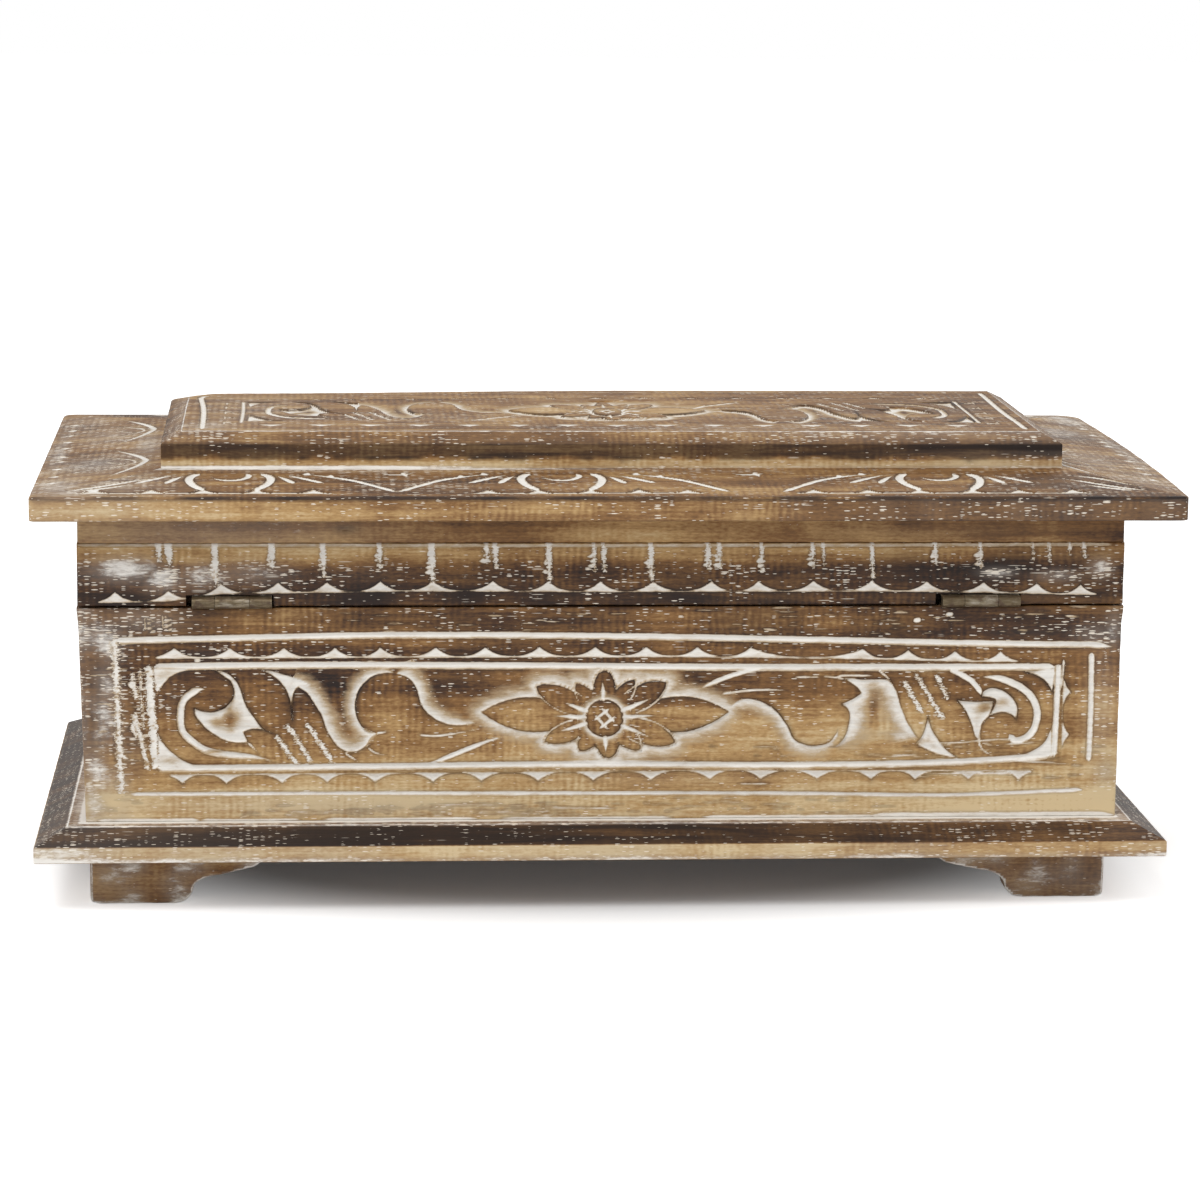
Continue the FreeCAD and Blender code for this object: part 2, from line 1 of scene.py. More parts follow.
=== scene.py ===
# %% [markdown]
# # A carved, white-washed chest
# The real object is a small wooden chest. Four carved boards stand on a bevelled base board
# with bracket feet. The lid is a rim, plain packing strips, a sloped board and a raised panel,
# and it swings on two small butt hinges at the back. All of it was scorched brown, carved so
# that pale wood shows in the cuts, and rubbed with white paint that stays in every cut and pore.
#
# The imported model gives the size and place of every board. This script adds what a carver and
# a painter added: real relief in the faces, worn arrises, and a finish for every surface.

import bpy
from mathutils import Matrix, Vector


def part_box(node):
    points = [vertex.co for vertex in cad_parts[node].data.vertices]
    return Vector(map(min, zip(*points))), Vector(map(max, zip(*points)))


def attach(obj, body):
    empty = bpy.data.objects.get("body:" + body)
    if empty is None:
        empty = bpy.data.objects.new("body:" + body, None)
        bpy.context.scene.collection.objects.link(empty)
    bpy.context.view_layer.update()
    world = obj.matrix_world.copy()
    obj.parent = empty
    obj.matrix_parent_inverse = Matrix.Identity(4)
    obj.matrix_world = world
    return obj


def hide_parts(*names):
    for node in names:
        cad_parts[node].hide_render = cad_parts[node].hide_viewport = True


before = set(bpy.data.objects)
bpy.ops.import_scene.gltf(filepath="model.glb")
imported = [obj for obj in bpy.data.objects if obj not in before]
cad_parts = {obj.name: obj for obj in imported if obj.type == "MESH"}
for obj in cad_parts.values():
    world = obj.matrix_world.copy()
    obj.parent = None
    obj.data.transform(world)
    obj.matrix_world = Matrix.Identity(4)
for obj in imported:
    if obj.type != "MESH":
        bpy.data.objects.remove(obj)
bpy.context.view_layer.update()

# %% Modules and units
import math

import bpy
import numpy as np
from mathutils import Matrix, Vector

MM = 0.001


def new_object(name, data):
    """A new object in the scene."""
    thing = bpy.data.objects.new(name, data)
    bpy.context.scene.collection.objects.link(thing)
    return thing


print("carving is drawn in millimetres and built in metres, 1 mm =", MM)

# %% [markdown]
# ## Camera
# The photograph looks down a little at the hinged back, from slightly to one side. A long lens
# keeps the boards' edges nearly parallel. The camera is placed by its eye point and two
# directions, which is easier to check than three rotation angles.

# %% Set the camera
EYE = Vector((0.09795, 1.38628, 0.33066))
LOOK = Vector((-0.071736, -0.982106, -0.174134))
HEAD_UP = Vector((-0.002396, -0.174414, 0.984670))
LENS_MM = 123.885
SIDE_SHIFT = -0.0009

camera_data = bpy.data.cameras.new("view")
camera_data.sensor_width = 36.0
camera_data.sensor_fit = "HORIZONTAL"
camera_data.lens = LENS_MM
camera_data.shift_x = SIDE_SHIFT
camera = new_object("view", camera_data)
side_way = LOOK.cross(HEAD_UP).normalized()
true_up = side_way.cross(LOOK).normalized()
turn = Matrix((side_way, true_up, -LOOK.normalized())).transposed()
camera.matrix_world = Matrix.Translation(EYE) @ turn.to_4x4()
bpy.context.scene.camera = camera
print("camera at", tuple(round(value, 3) for value in camera.location))

# %% [markdown]
# ## Studio light
# A product photograph of a matt object is lit evenly. A white world does most of it, so a
# colour renders about as it is written. One broad lamp from the viewer's left gives the cuts a
# little shape, and a weaker one fills the far side. What the camera itself sees of the world is
# plain white.
#
# The world is a small graph of nodes, and so is every finish below. One helper adds a node, sets
# it up and fills its inputs, with plain values or with the outputs of other nodes.

# %% Light the set
WHITE = (1.0, 1.0, 1.0, 1.0)
WORLD_LEVEL = 0.66
LAMP_SIZE = 0.8
LAMP_AIM = (0.0, 0.0, 0.08)


def add_node(tree, kind, outlet=0, inputs=None, **settings):
    """Adds a node, sets it up and fills its inputs. Gives one of its outputs, or all for None."""
    node = tree.nodes.new("ShaderNode" + kind)
    for name, value in settings.items():
        setattr(node, name, value)
    for label, value in (inputs or {}).items():
        if isinstance(value, bpy.types.NodeSocket):
            tree.links.new(value, node.inputs[label])
        else:
            node.inputs[label].default_value = value
    return node.outputs if outlet is None else node.outputs[outlet]


def soft_lamp(name, place, watts):
    """A broad square lamp that points at the chest."""
    data = bpy.data.lights.new(name, "AREA")
    data.shape = "SQUARE"
    data.size = LAMP_SIZE
    data.energy = watts
    lamp = new_object(name, data)
    lamp.location = place
    lamp.rotation_euler = (Vector(LAMP_AIM) - Vector(place)).to_track_quat("-Z", "Y").to_euler()


world = bpy.data.worlds.new("studio")
bpy.context.scene.world = world
world.use_nodes = True
sky = world.node_tree
sky.nodes.clear()
camera_ray = add_node(sky, "LightPath", "Is Camera Ray")
room = add_node(sky, "Background", 0, {"Color": WHITE, "Strength": WORLD_LEVEL})
seen = add_node(sky, "Background", 0, {"Color": WHITE, "Strength": 1.0})
sky_mix = add_node(sky, "MixShader", 0, {0: camera_ray, 1: room, 2: seen})
add_node(sky, "OutputWorld", None, {"Surface": sky_mix})
soft_lamp("key", (0.8, 1.3, 1.9), 22.0)
soft_lamp("fill", (-1.3, -1.7, 1.5), 9.0)
bpy.context.scene.view_settings.view_transform = "Standard"
print("world level", WORLD_LEVEL, "and two lamps")

# %% [markdown]
# ## Floor
# A pale floor fades into the white background and keeps the shadow under the chest. Camera rays
# see a little glow in it that grows with the distance from the chest, so only the shadow shows.

# %% Lay the floor
FLOOR_HALF = 6.0
FLOOR_WHITE = 0.93
# The glow grows over these shares of an oval with these half axes, from near to far
GLOW_OVAL = (0.20, 0.125)
GLOW_START = 0.60
GLOW_END = 1.15
GLOW_NEAR = 0.035
GLOW_FAR = 0.55


def add_math(tree, operation, *terms, clamp=False):
    """A math node whose terms are numbers or sockets."""
    return add_node(tree, "Math", 0, dict(enumerate(terms)), operation=operation, use_clamp=clamp)


def add_times(tree, first, second, clamp=False):
    """The product of two values."""
    return add_math(tree, "MULTIPLY", first, second, clamp=clamp)


def add_parts(tree, total, *parts):
    """A total plus each part times its weight."""
    for part, weight in parts:
        total = add_math(tree, "MULTIPLY_ADD", part, weight, total)
    return total


def add_range(tree, value, low, high, out_low=0.0, out_high=1.0):
    """A smooth step of a value between two limits."""
    ends = {"Value": value, "From Min": low, "From Max": high, "To Min": out_low, "To Max": out_high}
    return add_node(tree, "MapRange", 0, ends, interpolation_type="SMOOTHSTEP")


def new_material(name):
    """An empty node material."""
    material = bpy.data.materials.new(name)
    material.use_nodes = True
    material.node_tree.nodes.clear()
    return material


floor_mesh = bpy.data.meshes.new("floor")
corners = [(-1, -1), (1, -1), (1, 1), (-1, 1)]
floor_mesh.from_pydata([(x * FLOOR_HALF, y * FLOOR_HALF, 0) for x, y in corners], [], [(0, 1, 2, 3)])
floor = new_object("floor", floor_mesh)
paper = new_material("paper_floor")
tree = paper.node_tree
matt = add_node(tree, "BsdfDiffuse", 0, {"Color": (FLOOR_WHITE, FLOOR_WHITE, FLOOR_WHITE, 1.0)})
oval = {0: add_node(tree, "TexCoord", "Object"), 1: (1 / GLOW_OVAL[0], 1 / GLOW_OVAL[1], 0.0)}
footprints = add_node(tree, "VectorMath", "Vector", oval, operation="MULTIPLY")
distance = add_node(tree, "VectorMath", "Value", {0: footprints}, operation="LENGTH")
glow = add_range(tree, distance, GLOW_START, GLOW_END, GLOW_NEAR, GLOW_FAR)
amount = add_times(tree, add_node(tree, "LightPath", "Is Camera Ray"), glow)
lift = add_node(tree, "Emission", 0, {"Color": WHITE, "Strength": amount})
both = add_node(tree, "AddShader", 0, {0: matt, 1: lift})
add_node(tree, "OutputMaterial", None, {"Surface": both})
floor_mesh.materials.append(paper)
print("floor", 2 * FLOOR_HALF, "m square")

# %% [markdown]
# ## How the finish is made
# Two of these marks are partly painted shade: the dark rim just outside each cut, which is also scorch, and
# the paint that turns thin and golden towards a cut's edge.
# The photograph shows one finish everywhere, in different strengths. These layers, from below
# upwards, make it: brown wood with long grain, faint upright ripples from the planing machine,
# scorched patches and edges, short white dashes where paint filled the open pores, and white
# paint in the cuts and rubbed over corners. Each layer is a node group that gives a mask or a
# value, so that every wood material can use it with its own numbers.
#
# Where the layers go is not left to chance alone. Each carved face carries two colour
# attributes. In the one called wear, red says how much paint was rubbed over the surface, green
# how scorched it is, and blue how light the wood is. In the one called cuts, red says how far a
# point lies inside or outside the nearest cut, green how much paint stayed in that cut, and blue
# how torn its edge is.

# %% Helpers for node groups


def start_group(name, outputs, amount=None):
    """A shader node group that reads a Vector, and an Amount if one is given, and gives values."""
    group = bpy.data.node_groups.new(name, "ShaderNodeTree")
    group.interface.new_socket("Vector", in_out="INPUT", socket_type="NodeSocketVector")
    if amount is not None:
        socket = group.interface.new_socket("Amount", in_out="INPUT", socket_type="NodeSocketFloat")
        socket.default_value = amount
    for label in outputs:
        group.interface.new_socket(label, in_out="OUTPUT", socket_type="NodeSocketFloat")
    return group, group.nodes.new("NodeGroupInput").outputs


def end_group(group, **outputs):
    """Joins a group's results to its outputs."""
    end = group.nodes.new("NodeGroupOutput")
    for label, value in outputs.items():
        group.links.new(value, end.inputs[label])


def add_group(tree, group, **inputs):
    """A node group in a tree, with its inputs, and all its outputs."""
    return add_node(tree, "Group", None, inputs, node_tree=group)


def add_stretch(tree, vector, share):
    """A space in which everything is drawn out along the grain: the less the share, the longer."""
    return add_node(tree, "VectorMath", "Vector", {0: vector, 1: (share, 1.0, 1.0)}, operation="MULTIPLY")


def add_noise(tree, vector, scale, detail=3.0, rough=0.55, twist=0.0):
    """A noise value of 0 to 1 in a vector's space."""
    ends = {"Vector": vector, "Scale": scale, "Detail": detail, "Roughness": rough, "Distortion": twist}
    return add_node(tree, "TexNoise", "Fac", ends)


def add_mix(tree, factor, first, second, blend="MIX"):
    """Two colours mixed by a factor, each a socket or a colour."""
    return add_node(tree, "Mix", 2, {0: factor, 6: first, 7: second}, data_type="RGBA", blend_type=blend)


print("node helpers ready")

# %% [markdown]
# ### Grain
# The wood is a pale, open-grained tropical timber. Its grain shows as long soft streaks with
# finer lines in them. Noise that is drawn out along the board, thirteen times for the streaks and
# forty-five for the lines, is steadier on flat boards than a ring texture cut out of a trunk.

# %% Group: wood grain
STREAKS_PER_M = 110.0
STREAK_STRETCH = 0.075
LINES_PER_M = 900.0
LINE_STRETCH = 0.022

grain, into = start_group("wood_grain", ("Streaks", "Lines"))
streaks = add_noise(grain, add_stretch(grain, into["Vector"], STREAK_STRETCH), STREAKS_PER_M, 4.0, 0.6, 0.6)
lines = add_noise(grain, add_stretch(grain, into["Vector"], LINE_STRETCH), LINES_PER_M, 3.0, 0.65, 0.3)
end_group(grain, Streaks=add_range(grain, streaks, 0.3, 0.7), Lines=add_range(grain, lines, 0.25, 0.75))
print("grain streaks about", round(1000 / STREAKS_PER_M, 1), "mm wide")

# %% [markdown]
# ### Planer ripple
# A planing machine leaves shallow scallops across the board, here about 2.3 mm apart. They show
# as upright golden bands on the sides, clear in some places and gone in others. A wave texture
# along the board, bent by noise and faded by two more, drifts as the real bands do.

# %% Group: planer ripple
RIPPLE_PITCH = 2.3 * MM
WAVE_TURN = 0.314
FADES_PER_M = 55.0
SPOTS_PER_M = 330.0

ripple, into = start_group("planer_ripple", ("Height",))
ends = {"Vector": into["Vector"], "Scale": WAVE_TURN / RIPPLE_PITCH}
ends.update({"Distortion": 3.4, "Detail": 2.0, "Detail Scale": 0.8})
wave = add_node(ripple, "TexWave", "Fac", ends, wave_type="BANDS", bands_direction="X")
strength = add_range(ripple, add_noise(ripple, into["Vector"], FADES_PER_M, 2.0), 0.38, 0.66, 0.05, 1.0)
spots = add_range(ripple, add_noise(ripple, into["Vector"], SPOTS_PER_M, 2.0), 0.3, 0.62, 0.15, 1.0)
centred = add_math(ripple, "SUBTRACT", wave, 0.5)
patchy = add_times(ripple, strength, spots)
end_group(ripple, Height=add_times(ripple, centred, patchy))
print("ripple pitch", RIPPLE_PITCH, "m")

# %% [markdown]
# ### Filled pores
# Paint rubbed over open grain stays in the pores as short white dashes along the grain. Each
# cell of a stretched Voronoi texture holds one dash. A random number per cell decides how long
# it is, and most cells stay empty, so the dashes never line up. The wood uses the group once
# more in a space that is drawn out further, for long faint scratches.

# %% Group: filled pores
PORE_PER_M = 2700.0
PORE_STRETCH = 0.16
CROWDS_PER_M = 70.0

pores, into = start_group("filled_pores", ("Mask",), 0.5)
cell_space = add_stretch(pores, into["Vector"], PORE_STRETCH)
cell = add_node(pores, "TexVoronoi", None, {"Vector": cell_space, "Scale": PORE_PER_M})
chance = add_node(pores, "SeparateColor", "Red", {"Color": cell["Color"]})
drift = add_noise(pores, into["Vector"], CROWDS_PER_M, 3.0, 0.6)
crowd = add_times(pores, add_range(pores, drift, 0.30, 0.70, 0.65, 1.25), into["Amount"])
size = add_times(pores, add_math(pores, "SUBTRACT", crowd, chance), 1.6, clamp=True)
inner = add_math(pores, "SUBTRACT", size, cell["Distance"])
end_group(pores, Mask=add_range(pores, inner, -0.02, 0.10))
print("pores up to", round(1000 / PORE_PER_M / PORE_STRETCH, 1), "mm long")

# %% [markdown]
# ### Rubbed paint
# White paint that is wiped off stays whole in a cut, and breaks into streaks and specks where
# little of it lies. The group turns an amount of 0 to 1 into such a mask: near 1 it is solid,
# and in between, noise stretched along the grain decides where it holds. It also gives that
# noise itself, as Wipe, which breaks up the edges of the cuts in the same way.

# %% Group: rubbed paint
WIPES_PER_M = 620.0
CLOUDS_PER_M = 60.0

rubbed, into = start_group("rubbed_paint", ("Mask", "Wipe"), 0.5)
wiped = add_noise(rubbed, add_stretch(rubbed, into["Vector"], 0.30), WIPES_PER_M, 5.0, 0.7, 0.4)
cloud = add_times(rubbed, add_noise(rubbed, into["Vector"], CLOUDS_PER_M, 3.0), 0.3)
hold = add_math(rubbed, "ADD", add_times(rubbed, wiped, 0.7), cloud)
gate = add_math(rubbed, "SUBTRACT", 0.93, add_times(rubbed, into["Amount"], 0.86))
mask = add_range(rubbed, add_math(rubbed, "SUBTRACT", hold, gate), -0.12, 0.18)
end_group(rubbed, Mask=mask, Wipe=add_math(rubbed, "SUBTRACT", wiped, 0.5))
print("rubbed paint breaks up along the grain")

# %% [markdown]
# ### The colours and the bare wood
# The bare wood is a ramp from char to pale gold. How light a point is comes from its tone on the
# mesh, from the grain, from fine grit and from broad blotches, each with its own weight. The
# tones were set beside the photograph.

# %% Colours and bare wood


def colour(red, green, blue):
    """A display colour of 0 to 255 as the linear colour that shaders use."""
    linear = []
    for value in (red, green, blue):
        share = value / 255
        linear.append(share / 12.92 if share <= 0.04045 else ((share + 0.055) / 1.055) ** 2.4)
    return (*linear, 1.0)


CHAR = colour(40, 30, 27)
BROWN_DARK = colour(80, 54, 36)
BROWN_MID = colour(136, 98, 58)
GOLD_MID = colour(186, 150, 100)
GOLD_LIGHT = colour(219, 196, 154)
PAINT = colour(244, 240, 233)
# Thin paint's colour, used also as painted shade towards the edges of the cuts
PAINT_THIN_AND_SHADED = colour(190, 166, 132)
PORE_PAINT = colour(238, 228, 212)
GREY_FILM = colour(158, 147, 138)
BLOTCHES_PER_M = 46.0
GRIT_PER_M = 1500.0


def bare_wood(tree, fibres, bands, space, tone, ripple_tint):
    """The colour of the wood before paint."""
    blotch = add_noise(tree, space, BLOTCHES_PER_M, 5.0, 0.62, 0.5)
    grit = add_noise(tree, add_stretch(tree, space, 0.30), GRIT_PER_M, 2.0, 0.6)
    level = add_math(tree, "ADD", add_parts(tree, -0.13, (fibres["Streaks"], 0.26)), tone)
    level = add_parts(tree, level, (fibres["Lines"], 0.16), (grit, 0.44), (blotch, 0.66))
    level = add_math(tree, "SUBTRACT", level, 0.63)
    level = add_math(tree, "MULTIPLY_ADD", bands, ripple_tint, level, clamp=True)
    ramp = add_node(tree, "ValToRGB", "Color", {"Fac": level})
    stops = ramp.node.color_ramp.elements
    stops[0].color = CHAR
    stops[1].color = GOLD_LIGHT
    for position, shade in ((0.2, BROWN_DARK), (0.48, BROWN_MID), (0.74, GOLD_MID)):
        stops.new(position).color = shade
    return ramp


print("paint", [round(value, 2) for value in PAINT[:3]], "as linear colour")

# %% [markdown]
# ### The wood material
# One function makes every wood material from the groups. What differs is the way the grain runs
# and how strong each layer is. The Principled shader itself stays in the material: a scorched
# and waxed board is nearly matt, and the paint is duller still.

# %% The wood material
HAIRS_PER_M = 1900.0
BUMP_REACH = 0.25 * MM


def grain_space(tree, along):
    """Object coordinates, turned so that the grain runs along their first axis."""
    place = add_node(tree, "TexCoord", "Object")
    if along == "X":
        return place
    parts = add_node(tree, "SeparateXYZ", None, {"Vector": place})
    return add_node(tree, "CombineXYZ", 0, {"X": parts["Y"], "Y": parts["X"], "Z": parts["Z"]})


def split(tree, attribute):
    """The three channels of a colour attribute."""
    source = add_node(tree, "Attribute", "Color", attribute_name=attribute)
    return list(add_node(tree, "SeparateColor", None, {"Color": source}))


def pore_marks(tree, space, film, scorch, tone, amount):
    """Paint in the pores: short dashes, and long faint scratches. Pale wood has fewer."""
    weights = (scorch, -0.12 * amount), (tone, -0.24 * amount), (film, 0.5 * amount)
    crowd = add_parts(tree, 0.42 * amount, *weights)
    fewer = add_times(tree, crowd, 0.6)
    dashes = add_group(tree, pores, Vector=space, Amount=crowd)
    scratches = add_group(tree, pores, Vector=add_stretch(tree, space, 0.3), Amount=fewer)
    return dashes["Mask"], scratches["Mask"]


def cut_paint(tree, space, wipe, scorch, lines):
    """The dark rim of the cuts, part scorch and part painted shade, where paint covers them, and that
    paint's colour, shaded towards their edges.
    """
    edge, kept, ragged = split(tree, "cuts")
    hairs = add_noise(tree, add_stretch(tree, space, 0.22), HAIRS_PER_M, 2.0, 0.7)
    torn_edge = add_times(tree, add_math(tree, "SUBTRACT", hairs, 0.5), ragged)
    rough_edge = add_math(tree, "ADD", add_parts(tree, edge, (wipe, 0.22)), torn_edge)
    cover = add_range(tree, rough_edge, 0.490, 0.560)
    held = add_parts(tree, kept, (wipe, 0.80))
    # rim is a dark line just outside each cut: part scorch, part painted shade at the cut's steep wall.
    rim = add_math(tree, "SUBTRACT", add_range(tree, rough_edge, 0.34, 0.47), cover, clamp=True)
    rim = add_times(tree, rim, add_parts(tree, 0.18, (scorch, 0.75)))
    rim = add_times(tree, rim, add_range(tree, kept, 0.15, 0.55))
    # Painted shade: the paint turns thin and golden towards each cut's edge, in place of the shading of the
    # groove's walls.
    painted_groove_shading = add_range(tree, rough_edge, 0.49, 0.66)
    thick_and_lit = add_times(tree, add_range(tree, held, 0.42, 1.02), painted_groove_shading)
    shade = add_parts(tree, 0.86, (lines, 0.16))
    tint = add_node(tree, "CombineColor", 0, dict.fromkeys(("Red", "Green", "Blue"), shade))
    paint = add_mix(tree, 1.0, add_mix(tree, thick_and_lit, PAINT_THIN_AND_SHADED, PAINT), tint, "MULTIPLY")
    white = add_times(tree, cover, add_range(tree, held, 0.06, 0.66))
    return rim, white, paint


def add_surface(tree, height, strength, reach, **inputs):
    """The Principled shader of a material, with a bump, and the material's output."""
    bump = add_node(tree, "Bump", "Normal", {"Strength": strength, "Distance": reach, "Height": height})
    ends = {label.replace("_", " "): value for label, value in inputs.items()}
    shader = add_node(tree, "BsdfPrincipled", 0, {"Normal": bump, **ends})
    add_node(tree, "OutputMaterial", None, {"Surface": shader})
    return shader.node


def wood(name, along, ripple_tint=0.17, pore_amount=1.0, bump=0.35):
    """A wood material that reads its wear and its cuts from the mesh."""
    material = new_material(name)
    tree = material.node_tree
    space = grain_space(tree, along)
    film, scorch, tone = split(tree, "wear")
    fibres = add_group(tree, grain, Vector=space)
    bands = add_group(tree, ripple, Vector=space)["Height"]
    smear = add_group(tree, rubbed, Vector=space, Amount=film)
    dashes, scratches = pore_marks(tree, space, film, scorch, tone, pore_amount)
    rim, white, paint = cut_paint(tree, space, smear["Wipe"], scorch, fibres["Lines"])
    burnt = add_times(tree, scorch, add_range(tree, fibres["Streaks"], 0.0, 1.0, 1.15, 0.7))
    # The rim layer darkens the wood round each cut, as scorch and as painted shade.
    layers = [
        (add_times(tree, burnt, 0.92, clamp=True), CHAR), (rim, CHAR),
        (add_times(tree, add_range(tree, film, 0.0, 0.6), 0.52), GREY_FILM),
        (add_times(tree, scratches, 0.7), PORE_PAINT),
        (add_times(tree, dashes, 0.9), PORE_PAINT),
        (smear["Mask"], PAINT), (white, paint),
    ]
    body = bare_wood(tree, fibres, bands, space, tone, ripple_tint)
    for cover, shade in layers:
        body = add_mix(tree, cover, body, shade)
    height = add_times(tree, fibres["Lines"], 0.35)
    height = add_parts(tree, height, (bands, 0.4), (dashes, -0.30), (white, 0.18), (smear["Wipe"], 0.9))
    gloss = add_parts(tree, 0.56, (white, 0.18))
    shader = add_surface(tree, height, bump, BUMP_REACH, Base_Color=body, Roughness=gloss)
    shader.inputs["Specular IOR Level"].default_value = 0.28
    return material


long_wood = wood("scorched_wood_long", "X")
short_wood = wood("scorched_wood_short", "Y")
print("wood materials:", long_wood.name, short_wood.name)

# %% [markdown]
# ## Carving as a field of depths
# A carver works a flat board with a few moves: a gouge run along a line, a bevel cut down to one
# side of a line, a pocket scooped out inside an outline, and rows of small chips. Sculpting or
# hundreds of Boolean cuts could copy these, but a field is simpler and never fails. For every
# point of a fine grid on the face we work out how deep the wood is cut there, and how much
# paint and scorch lies there. Each move below only deepens the field where it cuts.

# %% A carved face and its measures
# How far round a cut we look, and how far from its edge the mesh keeps the distance
EDGE_REACH = 2.6
EDGE_SPAN = 1.6
# How far paint runs out over the edge, and how wide two cuts blend where they cross
PAINT_SPILL = 1.3
CROSSING = 0.8
WALL_WIDE = 0.7
WEAR_LAYERS = 6
BARE_TONE = 0.5


def unit(value):
    """The value, held between 0 and 1."""
    return np.clip(value, 0, 1)


def ease(value):
    """A smooth step from 0 to 1."""
    value = np.clip(value, 0.0, 1.0)
    return value * value * (3 - 2 * value)


def wander(x, wave, seed):
    """A smooth random wave of about -1 to 1 along x."""
    draw = np.random.default_rng(seed)
    total = np.zeros_like(np.asarray(x, float))
    for share in (1.0, 0.47, 0.23):
        total = total + share * np.sin(math.tau * x / (wave * share) + draw.uniform(0, math.tau))
    return total / 1.7


def mottle(a, b, wave, seed, count=9):
    """Smooth random patches of about -1 to 1 over a face."""
    draw = np.random.default_rng(seed)
    total = np.zeros_like(a)
    for _ in range(count):
        angle = draw.uniform(0, math.tau)
        turn = math.tau / (wave * draw.uniform(0.6, 1.7))
        phase = draw.uniform(0, math.tau)
        total = total + np.sin((a * math.cos(angle) + b * math.sin(angle)) * turn + phase)
    return total / math.sqrt(count)


def beside(gap, wide=1.1):
    """1 inside a cut, fading with the distance outside it."""
    return np.exp(-(np.maximum(gap, 0) / wide) ** 2)


def steep(signed):
    """The steep wall at the edge of a cut: 0 outside it and 1 inside."""
    return ease(signed / WALL_WIDE + 0.5)


class Carving:
    """What happened at the points a, b of a face, in millimetres.

    depth is how deep the wood is cut, edge how far inside a cut a point lies, paint how much
    paint stayed in the cut, ragged how torn its edge is, film how much paint was rubbed over the
    surface, scorch and tone how dark and how light the wood is. half is half the board's length."""

    def __init__(self, a, b, seed=0, half=0.0):
        self.a = np.asarray(a, float).ravel()
        self.b = np.asarray(b, float).ravel()
        self.seed = seed
        self.half = half
        for layer in ("depth", "paint", "film", "scorch", "ragged"):
            setattr(self, layer, np.zeros(self.a.size))
        self.edge = np.full(self.a.size, -2 * EDGE_SPAN)
        self.tone = np.full(self.a.size, BARE_TONE)

    def view(self, middle_a, middle_b, scale_a=1.0, scale_b=1.0):
        """The same face in other coordinates. What is cut there is cut here."""
        other = Carving.__new__(Carving)
        other.__dict__.update(self.__dict__)
        other.a = (self.a - middle_a) / scale_a
        other.b = (self.b - middle_b) / scale_b
        return other

    def cut(self, near, depth, edge, paint, scorch, bare=0.0):
        """Deepens the face where a tool went, and leaves paint in the cut and scorch beside it."""
        old_edge = self.edge[near]
        spill = unit(1 + edge / PAINT_SPILL) ** 0.5
        spill = np.where(old_edge > 0, unit(0.5 + edge / CROSSING), spill)
        before = self.paint[near] * np.where(edge > 0, unit(0.5 + old_edge / CROSSING), 1.0)
        self.depth[near] = np.maximum(self.depth[near], depth)
        self.edge[near] = np.maximum(old_edge, edge)
        self.paint[near] = np.maximum(before, paint * spill)
        self.scorch[near] = np.maximum(self.scorch[near], scorch)
        self.tone[near] = np.maximum(self.tone[near], bare)

    def burn(self, scorch):
        """Scorches the face at least this much."""
        self.scorch[:] = np.maximum(self.scorch, scorch)

    def rub(self, paint):
        """Leaves at least this much paint rubbed over the face."""
        self.film[:] = np.maximum(self.film, paint)

    def oval(self, a, b, wide, tall):
        """1 at a point of the face, falling off smoothly round it."""
        return np.exp(-(((self.a - a) / wide) ** 2 + ((self.b - b) / tall) ** 2))

    def patch(self, a, b, wide, tall, tone=0.0, scorch=0.0, paint=0.0):
        """A soft oval patch, lighter or darker, scorched or rubbed with paint."""
        share = self.oval(a, b, wide, tall)
        self.tone += tone * share
        self.burn(scorch * share)
        self.rub(paint * share)

    def patches(self, table):
        """Many patches, each a row of a table."""
        for row in table:
            self.patch(*row)

    def wipe(self, a, b, wide, tall, lost):
        """Wipes the paint off in a soft oval, without a change to the cut."""
        self.paint[:] = self.paint * (1 - lost * self.oval(a, b, wide, tall))

    def wear(self, seed):
        """Film, scorch, tone, edge, paint and raggedness of every point, with the scorch in patches."""
        rough = np.clip(0.78 + 0.40 * mottle(self.a, self.b, 26.0, seed), 0.15, 1.25)
        dark = np.clip(1.25 - self.tone, 0.25, 1.0)
        under_paint = ease(1.5 - self.edge / 0.8)
        scorch = unit(self.scorch * rough * dark * under_paint)
        edge = unit(0.5 + 0.5 * self.edge / EDGE_SPAN)
        tone = unit(self.tone)
        layers = (unit(self.film), scorch, tone, edge, unit(self.paint), self.ragged)
        return np.stack(layers, axis=-1)


def curve(points, step=0.8):
    """A smooth line through points, as closely spaced points."""
    points = np.asarray(points, float)
    if len(points) == 2:
        return points
    padded = np.vstack([2 * points[0] - points[1], points, 2 * points[-1] - points[-2]])
    pieces = []
    for i in range(len(points) - 1):
        before, first, second, after = padded[i:i + 4]
        count = max(2, int(np.hypot(*(second - first)) / step) + 1)
        t = np.linspace(0, 1, count, endpoint=False)[:, None]
        middle = (second - before) * t
        bend = (2 * before - 5 * first + 4 * second - after) * t ** 2
        twist = (3 * first - before - 3 * second + after) * t ** 3
        pieces.append(first + 0.5 * (middle + bend + twist))
    pieces.append(points[-1:])
    return np.vstack(pieces)


